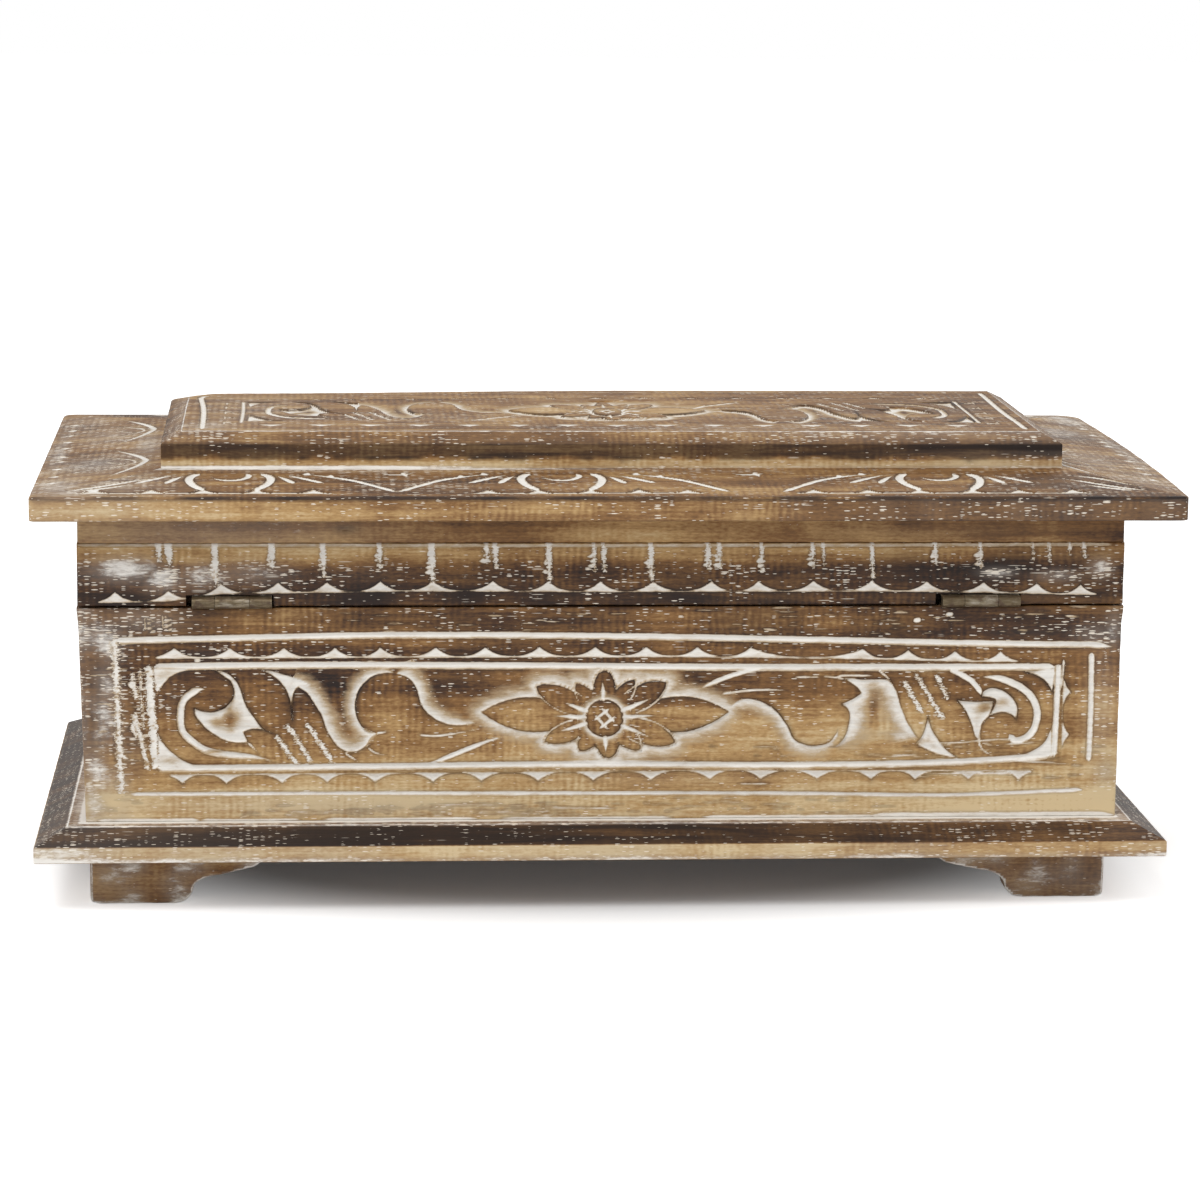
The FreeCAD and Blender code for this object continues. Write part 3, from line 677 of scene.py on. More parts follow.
def measure(work, line, reach):
    """Points near a line, their distance, the side they lie on and how far along they are."""
    low = line.min(axis=0) - reach
    high = line.max(axis=0) + reach
    in_a = (work.a > low[0]) & (work.a < high[0])
    near = np.nonzero(in_a & (work.b > low[1]) & (work.b < high[1]))[0]
    a = work.a[near]
    b = work.b[near]
    away = np.full(near.size, 1e9)
    side = np.zeros(near.size)
    along = np.zeros(near.size)
    steps = np.hypot(*np.diff(line, axis=0).T)
    run = 0.0
    for start, end, length in zip(line[:-1], line[1:], steps):
        if length < 1e-9:
            continue
        way = (end - start) / length
        t = np.clip((a - start[0]) * way[0] + (b - start[1]) * way[1], 0, length)
        gap = np.hypot(a - start[0] - t * way[0], b - start[1] - t * way[1])
        closer = gap < away
        away = np.where(closer, gap, away)
        turn = way[0] * (b - start[1]) - way[1] * (a - start[0])
        side = np.where(closer, np.where(turn >= 0, 1.0, -1.0), side)
        along = np.where(closer, run + t, along)
        run += length
    return near, away, side, along / run


def taper(along, thin):
    """1 in the middle of a cut, falling to 0 over the given shares of its length at its ends."""
    full = np.ones_like(along)
    if thin[0] > 0:
        full = full * ease(along / thin[0])
    if thin[1] > 0:
        full = full * ease((1 - along) / thin[1])
    return full


print("a carved face holds depth, paint, scorch and tone")

# %% [markdown]
# ### The carver's moves
# A gouge leaves a round groove that thins out at its ends. A bevel is steep on its line and
# slopes up to nothing on one side: it makes the leaves and scrolls stand out although they are
# level with the board. A pocket is deep at its outline and rises in the middle. Chips are small
# three-cornered cuts between arcs. Torn cuts run across the grain, so their edges are ragged.

# %% Gouge, bevel, pocket, chips and torn cut


def gouge(work, points, width, depth, thin=(0.25, 0.25), paint=1.0, scorch=0.5, step=0.8, worn=0.0):
    """A round groove along a line. worn is how much paint is lost on its right-hand side."""
    line = curve(points, step)
    near, away, way, along = measure(work, line, width / 2 + EDGE_REACH)
    full = taper(along, thin)
    half = width / 2 * full
    inside = unit(1 - away / np.maximum(half, 0.03))
    cut = depth * full * (1 - (1 - inside) ** 2)
    lost = worn * ease(away / np.maximum(half, 0.03) * 1.4 - 0.3) * (way < 0)
    burnt = scorch * full * beside(away - half)
    work.cut(near, cut, half - away, paint * ease(full * 3) * (1 - lost), burnt)


def bevel(work, points, reach, depth, side=1, thin=(0.2, 0.2), paint=1.0, scorch=0.9, fade=1.1):
    """A cut that is steep on its line and slopes up to nothing on one side of it."""
    line = curve(points)
    near, away, way, along = measure(work, line, reach + EDGE_REACH)
    signed = np.where(way == side, away, -away)
    full = taper(along, thin)
    share = unit(signed / np.maximum(reach * full, 0.05))
    wall = steep(signed)
    cut = depth * full * (1 - share) ** 1.1 * wall
    edge = np.minimum(signed, reach * full - signed)
    kept = paint * (1 - share) ** fade * ease(full * 4)
    burnt = scorch * full * beside(-signed) * ease(1.6 - signed)
    work.cut(near, cut, edge, kept, burnt, bare=0.62 * (1 - share) ** 0.5 * wall * ease(full * 4))


def within(a, b, outline):
    """Which points lie inside a closed outline."""
    odd = np.zeros(a.size, bool)
    for (x, y), (last_x, last_y) in zip(outline, np.roll(outline, 1, axis=0)):
        if y == last_y:
            continue
        crosses = (y > b) != (last_y > b)
        odd ^= crosses & (a < (last_x - x) * (b - y) / (last_y - y) + x)
    return odd


def pocket(work, sides, depth, soft, floor=0.3, paint=1.0, fade=0.5, scorch=0.8):
    """A pocket inside curved sides, deep at its outline and higher in the middle."""
    line = np.vstack([curve(side) for side in sides])
    near, away, _, _ = measure(work, np.vstack([line, line[:1]]), EDGE_REACH)
    inside = within(work.a[near], work.b[near], line)
    signed = np.where(inside, away, -away)
    rise = unit(away / soft) * inside
    cut = depth * (1 - (1 - floor) * rise) * steep(signed)
    burnt = scorch * beside(-signed)
    work.cut(near, cut, signed, paint * (1 - fade * ease(rise)), burnt, bare=0.6 * inside)


def chips(work, peaks, base, rise, way=1, depth=0.7, line=0.35, upright=False, scorch=0.6):
    """A row of arcs, with a three-cornered chip under each peak between them."""
    x = work.b if upright else work.a
    level = base if isinstance(base, float) else np.interp(x, *np.transpose(base))
    y = ((work.a if upright else work.b) - level) * way
    peaks = np.asarray(peaks, float)
    pitch = abs(peaks[1] - peaks[0])
    tail = 0.45 * pitch
    near = np.nonzero((x > peaks[0] - tail) & (x < peaks[-1] + tail) & (y > -2) & (y < rise + 3))[0]
    x = x[near]
    y = y[near]
    stops = np.concatenate([[2 * peaks[0] - peaks[1]], peaks, [2 * peaks[-1] - peaks[-2]]])
    after = np.clip(np.searchsorted(stops, x), 1, len(stops) - 1)
    t = np.abs(2 * (x - stops[after - 1]) / (stops[after] - stops[after - 1]) - 1)
    arch = rise * t ** 2.7
    slope = 5.4 * rise / pitch * t ** 1.7
    below = arch - y
    share = unit(below / (arch + line))
    ends = ease((x - peaks[0] + tail) / 3) * ease((peaks[-1] + tail - x) / 3)
    edge = np.minimum(below, y + line) / np.sqrt(1 + slope ** 2) - 1.2 * (1 - ends)
    cut = depth * (1 - share) * ease(arch / 1.5 + 0.3) * ease(edge / 0.6 + 0.5)
    burnt = scorch * beside(-edge) * ends * (below < 0.4)
    work.cut(near, cut, edge, (1 - 0.25 * share) * ends, burnt)


def torn(work, start, end, width, depth, seed, spikes_per_mm=3.0, paint=1.0, reach=1.0):
    """A ragged cut across the grain, with short splinters torn out along the grain."""
    draw = np.random.default_rng(seed)
    start = np.array(start, float)
    end = np.array(end, float)
    length = np.hypot(*(end - start))
    knots = max(3, int(length / 1.3))
    shares = np.linspace(0, 1, knots)
    sway = draw.normal(0, 0.07 * width, knots)
    spine = [start + (end - start) * t + np.array([s, 0]) for t, s in zip(shares, sway)]
    gouge(work, spine, width, depth, (0.04, 0.04), paint, 0.35)
    near, away, _, _ = measure(work, np.array(spine), width + 1.5)
    work.ragged[near] = np.maximum(work.ragged[near], unit(1.5 - away / width))
    for _ in range(int(length * spikes_per_mm)):
        at = start + (end - start) * draw.uniform(0.01, 0.99)
        out = draw.choice((-1, 1)) * (0.45 * width + reach * draw.uniform(0.1, 1.0) ** 2)
        tip = at + np.array([out, draw.uniform(-0.25, 0.25)])
        gouge(work, [at, tip], draw.uniform(0.6, 0.9), 0.4 * depth, (0, 0.7), paint, 0.1)
    for _ in range(int(length * 0.4)):
        spot = start + (end - start) * draw.uniform(0, 1) + np.array([draw.normal(0, 0.3 * width), 0])
        work.wipe(*spot, 0.55, 0.25, 0.6)


print("five moves: gouge, bevel, pocket, chips, torn")

# %% [markdown]
# ### The scroll and the flower
# The long sides carry one traditional design: a flower in the middle with a pointed leaf on each
# side, and on both sides of it a running scroll of a curled head, a hooked leaf and two lobes.
# The right half is the left half turned by half a turn about the flower. It was cut by eye, so
# on the long sides the right half gets strokes of its own.

# %% The strokes of the scroll
HEAD_CORNER_TOP = [(-144.5, 7.5), (-143, 10.5), (-140, 14), (-137, 15.5), (-133, 16.6)]
HEAD_CORNER_LOW = [(-144.5, -4.5), (-142.5, -8), (-139, -11.5), (-135.5, -13.8), (-131, -15.4)]
HEAD_CURL = [
    (-127.5, 10.2), (-131, 10), (-134.5, 8), (-136.5, 5), (-137, 0.5), (-136.5, -3.5), (-134, -6.5),
    (-130, -9.5), (-125, -11), (-119, -11.7), (-113, -12.3), (-109, -13.2), (-104, -15),
]
BIRD_SIDES = [
    [(-132.5, 4), (-130.5, 3), (-127, 2.5), (-123.5, 3.5), (-121, 5.5), (-119.5, 8.5), (-120, 11.5),
     (-121.5, 13.5), (-126, 16.6)],
    [(-124.6, 16.4), (-121.5, 15.2), (-119, 13), (-117.5, 10), (-116, 5), (-113.5, 1), (-110.5, -3),
     (-106, -5)],
    [(-106, -5), (-110, -3.5), (-113.5, -3), (-117, -4)],
    [(-117, -4), (-115.5, -7.5)],
    [(-115.5, -7.5), (-119.5, -7.5), (-123.5, -6.5), (-127.5, -4), (-130.5, -1), (-132.2, 1.6),
    (-132.5, 4)],
]
BIRD_SMUDGE = (-121.3, 0.2)
DAGGER_SIDES = [
    [(-111, 16.6), (-105.5, 15.5), (-98, 13), (-94, 10.5)],
    [(-94, 10.5), (-97, 11), (-99.4, 10.2), (-100.6, 8), (-101, 4.5), (-101, 0)],
    [(-101, 0), (-101.5, 4.5), (-102, 7.5), (-104, 11.5), (-107, 14.3), (-111, 16.6)],
]
HOOK_EDGE = [
    (-101.5, 11.5), (-99, 10.6), (-96, 8.5), (-93.5, 4.5), (-91.5, 1), (-90.3, -3), (-88.5, -6.5),
    (-86, -9.5), (-83, -10.8), (-80, -10.5), (-77.3, -8.6), (-76, -6.3), (-73.5, -4.5),
]
BALL_EDGE = [
    (-73, -4.5), (-77, -4), (-79.5, -1), (-80.7, 3), (-80.5, 6.5), (-79.5, 9.5), (-77.5, 12),
    (-75, 14), (-70.5, 15.2), (-66.5, 15),
]
LOBE_EDGE = [
    (-68, 15.2), (-64.5, 14), (-62, 12), (-60.7, 9.5), (-59.7, 5.5), (-58, 2.5), (-55, 0), (-51, -1.8),
    (-47, -2.1), (-43, -1.6), (-39, -0.4),
]
VEINS = [((-106.5, -5), (-100, -14.5)), ((-103, -1.5), (-95, -14)), ((-96.5, -1), (-88.5, -13.6))]
HAIR_LINES = [
    [(-61.5, -5), (-55, -5.5), (-47, -4.5), (-37, -2.5)],
    [(-115.5, -7.5), (-112, -11)],
    [(-77, -9), (-74.5, -11), (-69.5, -12)],
    [(-84.5, -11), (-79, -14.5)],
    [(-74, -4.5), (-69, -4)],
]
STEM = [(-62, -15.3), (-55, -14), (-47, -10.8), (-38.5, -7.5), (-29.5, -4.8)]
print(len(BIRD_SIDES), "sides in the pocket under the curl,", len(VEINS), "torn veins")

# %% The strokes of the right half
RIGHT_CURL = [
    (119.9, 12.4), (124.6, 13.2), (129, 12.8), (132.8, 11.5), (136.6, 9.5), (139.5, 6.9), (141.2, 4.1),
    (141.9, 1.2), (141.6, -2), (140.7, -4.5), (139.2, -6.4), (137.1, -7.6), (134.5, -7.8), (132.3, -5.4),
]
RIGHT_CRESCENT = [
    [(123.6, 6.7), (124, 8.2), (126.5, 9.5), (130.3, 8.7), (133.2, 6.6), (134.8, 4.4), (135.4, 1.9),
    (135, -1)],
    [(135, -1), (133.4, 0.6), (130.5, 1.4), (128, 0.9), (126.3, 0.3)],
    [(126.3, 0.3), (128.2, 5.4), (123.6, 6.7)],
]
RIGHT_FAN = [
    [(115.4, 5.6), (119.1, 5.1), (122.9, 5), (127.6, 5.2)],
    [(127.6, 5.2), (126.3, 0.6), (124.2, -1.9), (123.4, -4.4), (123.3, -8)],
    [(123.3, -8), (121.6, -6.5), (120.3, -2.5), (118.3, 1.9), (115.4, 5.6)],
]
RIGHT_CORNER_TOP = [(137.4, 14.8), (141.5, 13.6), (144.7, 11.3), (146.8, 7.8)]
RIGHT_CORNER_LOW = [(147, -3.3), (144.6, -8.4), (141.6, -10.9), (137.2, -12.9)]
RIGHT_DAGGER = [
    [(106, 0.4), (107.1, -3.7), (109.4, -7.5), (112.7, -11.4), (116.5, -13.9)],
    [(116.5, -13.9), (110.8, -12.8), (105.7, -10.9), (102.1, -8.8)],
    [(102.1, -8.8), (104.1, -6.3), (105.2, -3.1), (106, 0.4)],
]
RIGHT_LEAF = [
    [(77.8, 13), (81, 12.9), (84, 12.5), (90.8, 12.5), (93.3, 11.7), (94.9, 9.6), (96.1, 6.8), (97.1, 3.3),
     (99.3, -1.8), (102.8, -7.2)],
    [(102.8, -7.2), (92, -9.4), (82, -10.6), (71.9, -10.2)],
    [(71.9, -10.2), (76, -9.3), (78.4, -6.8), (79.6, -3.6), (80.2, 0.2), (79.5, 2.7), (77.3, 4.3)],
    [(77.3, 4.3), (81, 6), (83.9, 7.9)],
    [(83.9, 7.9), (82.1, 10.1), (77.8, 13)],
]
RIGHT_LEAF_WIPED = [
    (88, 1.5, 2.3, 8, 0.85), (90, -9.5, 10, 3, 0.95), (78, -11, 5, 1.8, 0.6),
    (101, -8, 3, 1.2, 0.5), (92, -4, 3, 3.6, 0.6),
]
RIGHT_LOBE = [
    (39.8, 2.6), (43.8, 5.8), (49.1, 6), (55.3, 2.8), (59.7, -2.7), (62, -7.2), (65.5, -8.9), (68.6, -9.4),
    (73, -8.5), (75.7, -5.4), (77, -1.4),
]
RIGHT_NECK = [(112, 16.4), (118.9, 12.7), (122.1, 9.5), (123.8, 6.3)]
RIGHT_STEM = [(29.6, 8.8), (36.7, 12.3), (46.0, 15.4), (56.0, 17.0)]
RIGHT_VEINS = [((97.7, 12), (103.7, 1.4)), ((101.5, 14.3), (110.8, -0.6)), ((108.3, 14.3), (112.4, 5.6))]
RIGHT_HAIR_LINES = [
    [(122.6, -7), (123.2, -9.5), (125.2, -11.8), (129, -13.4)],
    [(89.2, 15.8), (92, 13.4), (94, 11.5)],
    [(75.8, 13.8), (82, 13.9), (89.2, 13.7)],
    [(71, 13.6), (75.8, 13.2), (79.6, 12.1)],
    [(37.6, 7.9), (49.1, 9.2), (62.4, 9)],
]
print(len(RIGHT_VEINS), "veins and", len(RIGHT_HAIR_LINES), "hair lines on the right")

# %% [markdown]
# The strokes are cut in the order in which they overlap. A curled head alone is enough for the
# short ends of the case, and the whole left scroll, turned by half a turn, does for the panel.

# %% Cut the scrolls


def scroll_head(work):
    """The curled head of a scroll, with the pocket under it and the dagger beside it."""
    for side, corner in ((HEAD_CORNER_TOP, (-145.4, 17.2)), (HEAD_CORNER_LOW, (-145.0, -15.8))):
        pocket(work, [side, [side[-1], corner], [corner, side[0]]], 0.8, 5.0, 0.4, fade=0.2)
        work.wipe(side[2][0] - 1.0, side[2][1] + 0.4 * (corner[1] - side[2][1]), 4.5, 2.4, 0.3)
    pocket(work, BIRD_SIDES, 1.1, 6.0, 0.25, fade=0.45)
    work.patch(*BIRD_SMUDGE, 3.4, 3.0, tone=-0.25)
    work.wipe(*BIRD_SMUDGE, 2.2, 2.6, 0.85)
    work.wipe(BIRD_SMUDGE[0] - 4.0, BIRD_SMUDGE[1] - 1.0, 2.2, 2.0, 0.5)
    work.wipe(BIRD_SMUDGE[0] + 0.6, BIRD_SMUDGE[1] + 7.0, 1.4, 5.0, 0.45)
    gouge(work, HEAD_CURL, 2.5, 0.9, (0.10, 0.32), worn=0.5)
    work.wipe(-126.0, -10.4, 3.2, 0.7, 0.6)
    pocket(work, DAGGER_SIDES, 1.0, 4.0, 0.5, fade=0.25)


def left_scroll(work):
    """The head, the hooked leaf, the ball beside it, the torn veins, the lobe, fine lines and the stem."""
    scroll_head(work)
    bevel(work, HOOK_EDGE, 6.8, 1.1, 1, (0.02, 0.10), fade=1.0)
    bevel(work, BALL_EDGE, 5.4, 1.0, 1, (0.12, 0.25), fade=1.1)
    work.patch(-84.4, 1.0, 1.6, 7.0, tone=-0.2, scorch=0.15)
    work.patch(-86.0, 12.4, 5.0, 2.6, tone=-0.2, scorch=0.15)
    for number, (start, end) in enumerate(VEINS):
        torn(work, start, end, 1.5, 0.55, 40 + number, 3.0, reach=1.2)
    bevel(work, LOBE_EDGE, 6.2, 1.0, 1, (0.10, 0.30), fade=1.0)
    for points in HAIR_LINES:
        gouge(work, points, 0.9, 0.3, (0.1, 0.6), scorch=0.2)
    gouge(work, STEM, 1.7, 0.55, (0.35, 0.45), scorch=0.3)


def right_scroll(work):
    """The lobe, the curl with its crescent and fan, the dagger, and the leaf with its veins."""
    bevel(work, RIGHT_LOBE, 6.2, 1.0, -1, (0.12, 0.25), fade=1.0)
    gouge(work, RIGHT_STEM, 1.7, 0.55, (0.3, 0.3), scorch=0.3)
    for side, corner in ((RIGHT_CORNER_TOP, (147.6, 16.2)), (RIGHT_CORNER_LOW[::-1], (147.4, -13.4))):
        pocket(work, [side, [side[-1], corner], [corner, side[0]]], 0.8, 5.0, 0.4, fade=0.2)
    gouge(work, RIGHT_CURL, 2.5, 0.9, (0.28, 0.05))
    pocket(work, RIGHT_CRESCENT, 1.1, 5.0, 0.4, fade=0.35)
    pocket(work, RIGHT_FAN, 1.1, 5.0, 0.3, fade=0.45)
    work.patch(125.6, 3.4, 2.6, 2.6, tone=-0.2, scorch=0.2)
    work.wipe(124.4, 3.0, 2.6, 1.6, 0.7)
    work.wipe(129.6, 4.4, 2.6, 1.6, 0.4)
    pocket(work, RIGHT_DAGGER, 1.0, 5.0, 0.3, fade=0.5)
    pocket(work, RIGHT_LEAF, 1.1, 5.5, 0.3, fade=0.45, scorch=0.5)
    for patch in RIGHT_LEAF_WIPED:
        work.wipe(*patch)
    work.patch(88.0, 2.5, 1.4, 6.0, tone=-0.3, scorch=0.35)
    for number, (start, end) in enumerate(RIGHT_VEINS):
        torn(work, start, end, 1.4, 0.55, 60 + number, 3.0, reach=1.1)
    gouge(work, RIGHT_NECK, 2.0, 0.6, (0.1, 0.2), scorch=0.3)
    for points in RIGHT_HAIR_LINES:
        gouge(work, points, 0.9, 0.3, (0.1, 0.4), scorch=0.2)


print("a scroll has a head, a hook, a ball and a lobe")

# %% The flower
BOSS_RADIUS = 6.1
RING_WIDE = 2.8
PETALS = [
    ((-40, 2.2), 5.7), ((40.5, 2), 5.9), ((-22.5, 10.8), 4), ((-9.5, 11.6), 2.9), ((0, 16.2), 3.9),
    ((10, 13), 2.9), ((20.5, 12), 4.1), ((-20, -7.6), 3.4), ((-8.5, -11), 3.2), ((1.5, -13.6), 3.9),
    ((12, -10.6), 3.4), ((23.5, -8.2), 4.2),
]
ROUND_TIPS = ((0, 16.2), (1.5, -13.6))
RAYS = [(-0.6, 12.8), (-14, 5.7), (-17.5, 1), (-16, -4.6), (0.4, -11.4), (16.5, -7), (17.5, 1), (16.5, 7.2)]
GROUND_REACH = 6.4
FLOWER_ROOM = (-15.3, 17.2)


def petal_outline(tip, half, blunt):
    """A petal from the flower's centre to its tip, widest a little beyond its middle."""
    length = math.hypot(*tip)
    way = np.array(tip) / length
    across = np.array([-way[1], way[0]])
    share = np.linspace(0.0, 1.0, 15)
    swell = np.sin(math.pi * share ** 1.3) ** (0.5 if blunt else 0.9 if half > 4.5 else 0.66)
    up = [way * length * s + across * half * w for s, w in zip(share, swell)]
    down = [way * length * s - across * half * w for s, w in zip(share[::-1], swell[::-1])]
    return np.array(up + down[1:-1])


def flower(work, petals=PETALS, reach=GROUND_REACH):
    """Petals left standing in ground that is cut away round them, a boss and its rays."""
    work.patch(-27, 1, 15, 7, tone=0.24)
    work.patch(27, 1, 15, 7, tone=0.18)
    gap = np.full(work.a.size, 1e9)
    outlines = []
    room = np.minimum(work.b - FLOWER_ROOM[0], FLOWER_ROOM[1] - work.b)
    for tip, half in petals:
        outline = petal_outline(tip, half, tip in ROUND_TIPS)
        near, away, _, _ = measure(work, np.vstack([outline, outline[:1]]), reach + 1)
        inside = within(work.a[near], work.b[near], outline)
        gap[near] = np.minimum(gap[near], np.where(inside, -away, away))
        outlines.append((near, away, half))
    centre = np.hypot(work.a, work.b)
    ground = np.nonzero((gap < reach) & (room > 0))[0]
    flat = unit(1 - gap[ground] / reach)
    wall = steep(gap[ground])
    outer = (centre[ground] > BOSS_RADIUS + 3) * 1.0
    edge = np.minimum(np.minimum(gap[ground], reach - gap[ground]), room[ground])
    burnt = 0.9 * beside(-gap[ground]) * outer * ease(1.6 - gap[ground])
    work.cut(ground, 1.0 * flat ** 1.2 * wall, edge, 0.9 * flat, burnt, bare=0.62 * flat ** 0.4 * wall)
    for near, away, half in outlines:
        if half < 4.5:
            clear = (centre[near] > BOSS_RADIUS + 4) * 1.0
            work.cut(near, 0.28 * ease(1.2 - away) * clear, 0.35 - away - 2 * (1 - clear), 0.85 * clear, 0.0)
    ring = np.nonzero((centre < BOSS_RADIUS + 4) & (room > 0))[0]
    gap = centre[ring] - BOSS_RADIUS
    band = unit(1 - gap / RING_WIDE)
    edge = np.minimum(gap, RING_WIDE - gap)
    burnt = 0.9 * beside(-gap, 1.4) * (gap < 0.5)
    work.cut(ring, 0.85 * band * steep(gap), edge, band ** 1.1, burnt)
    for tip in RAYS:
        way = np.array(tip) / math.hypot(*tip)
        gouge(work, [way * (BOSS_RADIUS + 0.3), np.array(tip) * 1.08], 1.6, 0.6, (0, 0.8), scorch=0.2)
    for shift in (-1.6, 1.6):
        for turn in (math.radians(38), math.radians(-48)):
            way = np.array([math.cos(turn), math.sin(turn)])
            aside = np.array([-way[1], way[0]]) * shift
            gouge(work, [aside - way * 4.2, aside, aside + way * 4.2], 1.2, 0.4, (0.3, 0.3), scorch=0.2)


print(len(PETALS), "petals and", len(RAYS), "rays")

# %% [markdown]
# ### The long sides of the case
# Two frames run round the board. Between them is a row of chips above and below, and inside them
# lie the scroll and the flower. Lines along the grain are clean. Lines across it are torn,
# because a gouge lifts the fibres there. The scorch is heaviest along the top, and the wood is
# palest along the bottom.

# %% Carve a long side
FLOWER_AT = (-0.1, 33.4)
OUTER_TOP = [
    (-158.5, 59.4), (-114, 60.3), (-66, 61), (-2, 60.5), (63, 59.2), (110, 58), (144, 57.3),
    (158.7, 57.2), (167.3, 56.3),
]
OUTER_LOW = [(-157, 9.1), (-90, 9.0), (-20, 8.7), (60, 8.2), (104, 7.3), (128, 7.7), (158.5, 8.9)]
INNER_TOP = [(-146, 50.9), (-98, 51.3), (-35, 50.9), (30, 50.2), (95, 49.9), (148, 49.8)]
INNER_LOW = [(-146, 17.5), (-70, 17.9), (-5, 18.2), (60, 17.6), (110, 18.2), (136, 19.6), (147.5, 20.6)]
# Each line along the grain is its points, then width, depth, thin ends, paint and scorch
FRAME_LINES = [
    (OUTER_TOP, 2.4, 0.8, (0.01, 0.02), 1.0, 0.4), (OUTER_LOW, 1.7, 0.5, (0.02, 0.01), 0.95, 0.15),
    (INNER_TOP, 2.6, 0.9, (0.01, 0.01), 1.0, 0.45), (INNER_LOW, 2.5, 0.9, (0.01, 0.01), 1.0, 0.3),
]
RIGHT_UPRIGHTS = [
    ([(159.1, 54.9), (159.4, 36), (159.2, 17.7)], 2.1, 0.6, (0.03, 0.05), 0.95, 0.3),
    ([(148.3, 50.8), (148.1, 36), (147.7, 19.6)], 2.2, 0.8, (0.01, 0.05), 1.0, 0.4),
]
LONG_STEP = 6.0
WORN_SIDE = 0.55
CHIPS_UP = [-138.4, -120.6, -103.3, -86.9, -72.4, -54.5, -38.6, -21.1, -3.0, 13.5, 30.1, 47.4, 84.2, 98.9,
            114.3, 129.2]
CHIPS_UP_BASE = [(-140, 54.2), (20, 54.2), (84, 53.3), (98, 52.9), (114, 52.4), (130, 52.2)]
CHIPS_DOWN = [-137.2, -123.0, -104.9, -90.4, -74.9, -56.0, -40.4, -21.8, -3.8, 15.0, 34.3, 51.0, 69.6, 87.4,
              101.9, 119.6, 136.2]
CHIPS_DOWN_BASE = [(-140, 15.3), (40, 15.8), (136, 15.2)]
LEFT_CHIPS = [31.0, 45.0]
RIGHT_CHIPS = [27.3, 41.6]
LEFT_TORN = [((-152.2, 49.0), (-151.0, 40.5), 1.6), ((-152.0, 35.5), (-147.8, 17.0), 1.6),
             ((-149.6, 50.2), (-149.0, 30.0), 1.0)]
TIMBER_CRACKS = [
    [(100, 24.3), (117, 24.9), (129.5, 25.8), (142, 25.1)], [(90, 20.2), (106, 21.2)],
    [(103, 14.6), (146, 14.3)], [(126, 19.4), (155, 17.4)], [(129, 24), (143.5, 24.8)],
    [(42, 11.6), (55, 11.4)], [(-60, 5.2), (-30, 4.8)], [(60, 46.8), (72, 46.9)], [(-24, 4), (6, 3.6)],
]


def carve_long_side(work):
    """Frames, chips, scrolls and flower on a long side of the case."""
    seed = work.seed
    work.tone += 0.20 - 0.34 * ease((work.b - 8) / 44)
    work.tone += 0.08 * ease(work.a / 150) + 0.19 * ease((15 - work.b) / 10)
    margin = ease((-149 - work.a) / 9) * (0.30 + 0.12 * mottle(work.a, work.b, 15.0, seed + 40))
    work.rub(margin)
    work.burn(0.4 * ease((-158 - work.a) / 8) * ease((50 - work.b) / 20))
    work.burn(0.42 * ease((work.b - 52) / 10))
    work.patches(CASE_PATCHES)
    for line in FRAME_LINES:
        gouge(work, *line, LONG_STEP, WORN_SIDE)
    torn(work, (-157.4, 60.6), (-156.8, 9.0), 1.8, 0.55, seed + 1, 4.5, 0.95, 2.6)
    torn(work, (-146.6, 51.6), (-145.7, 17.2), 2.7, 0.85, seed + 3, 3.5)
    for line in RIGHT_UPRIGHTS:
        gouge(work, *line, LONG_STEP, 0.4)
    gouge(work, [(150.1, 52.7), (149.7, 46), (149.2, 41.3)], 0.9, 0.4, (0.1, 0.3))
    for number, (start, end, width) in enumerate(LEFT_TORN):
        torn(work, start, end, width, 0.55, seed + 20 + number, 3.5, 0.9)
    chips(work, CHIPS_UP, CHIPS_UP_BASE, 2.9, line=0.72)
    chips(work, CHIPS_DOWN, CHIPS_DOWN_BASE, 3.0, -1, line=0.45)
    chips(work, LEFT_CHIPS, -151.4, 2.4, -1, line=0.2, upright=True)
    chips(work, RIGHT_CHIPS, 150.2, 2.6, 1, line=0.3, upright=True)
    for start, end, wide in FOOT_PAINT:
        line = [(start, 0.5), ((start + end) / 2, 0.4), (end, 0.5)]
        gouge(work, line, wide, 0.06, (0.1, 0.1), 0.95, 0.0, 4.0)
    for point in WHITE_DOTS:
        gouge(work, [point, (point[0] + 0.9, point[1])], 1.7, 0.2, (0.0, 0.0), 1.0, 0.1)
    for a, b in ZIGZAGS_AT:
        gouge(work, [(a + (i % 2) * 2.4, b + i * 0.8) for i in range(8)], 0.55, 0.15, (0.1, 0.2), 0.8, 0.1)
        gouge(work, [(a - 0.7, b + 0.5), (a - 0.4, b + 6.0)], 0.5, 0.15, (0.2, 0.3), 0.7, 0.1)
    for points in TIMBER_CRACKS:
        gouge(work, points, 0.8, 0.3, (0.3, 0.3), 0.9, 0.3)
    draw = np.random.default_rng(seed + 60)
    for low_a, high_a, low_b, high_b, count, scorch in SCRATCHED:
        for _ in range(count):
            start = np.array([draw.uniform(low_a, high_a), draw.uniform(low_b, high_b)])
            end = start + np.array([draw.uniform(2.5, 12.0), draw.normal(0, 0.25)])
            wide, kept = draw.uniform(0.35, 0.6), draw.uniform(0.4, 0.9)
            gouge(work, [start, end], wide, 0.15, (0.3, 0.6), kept, scorch)
    middle = work.view(*FLOWER_AT)
    left_scroll(middle)
    right_scroll(middle)
    flower(middle)


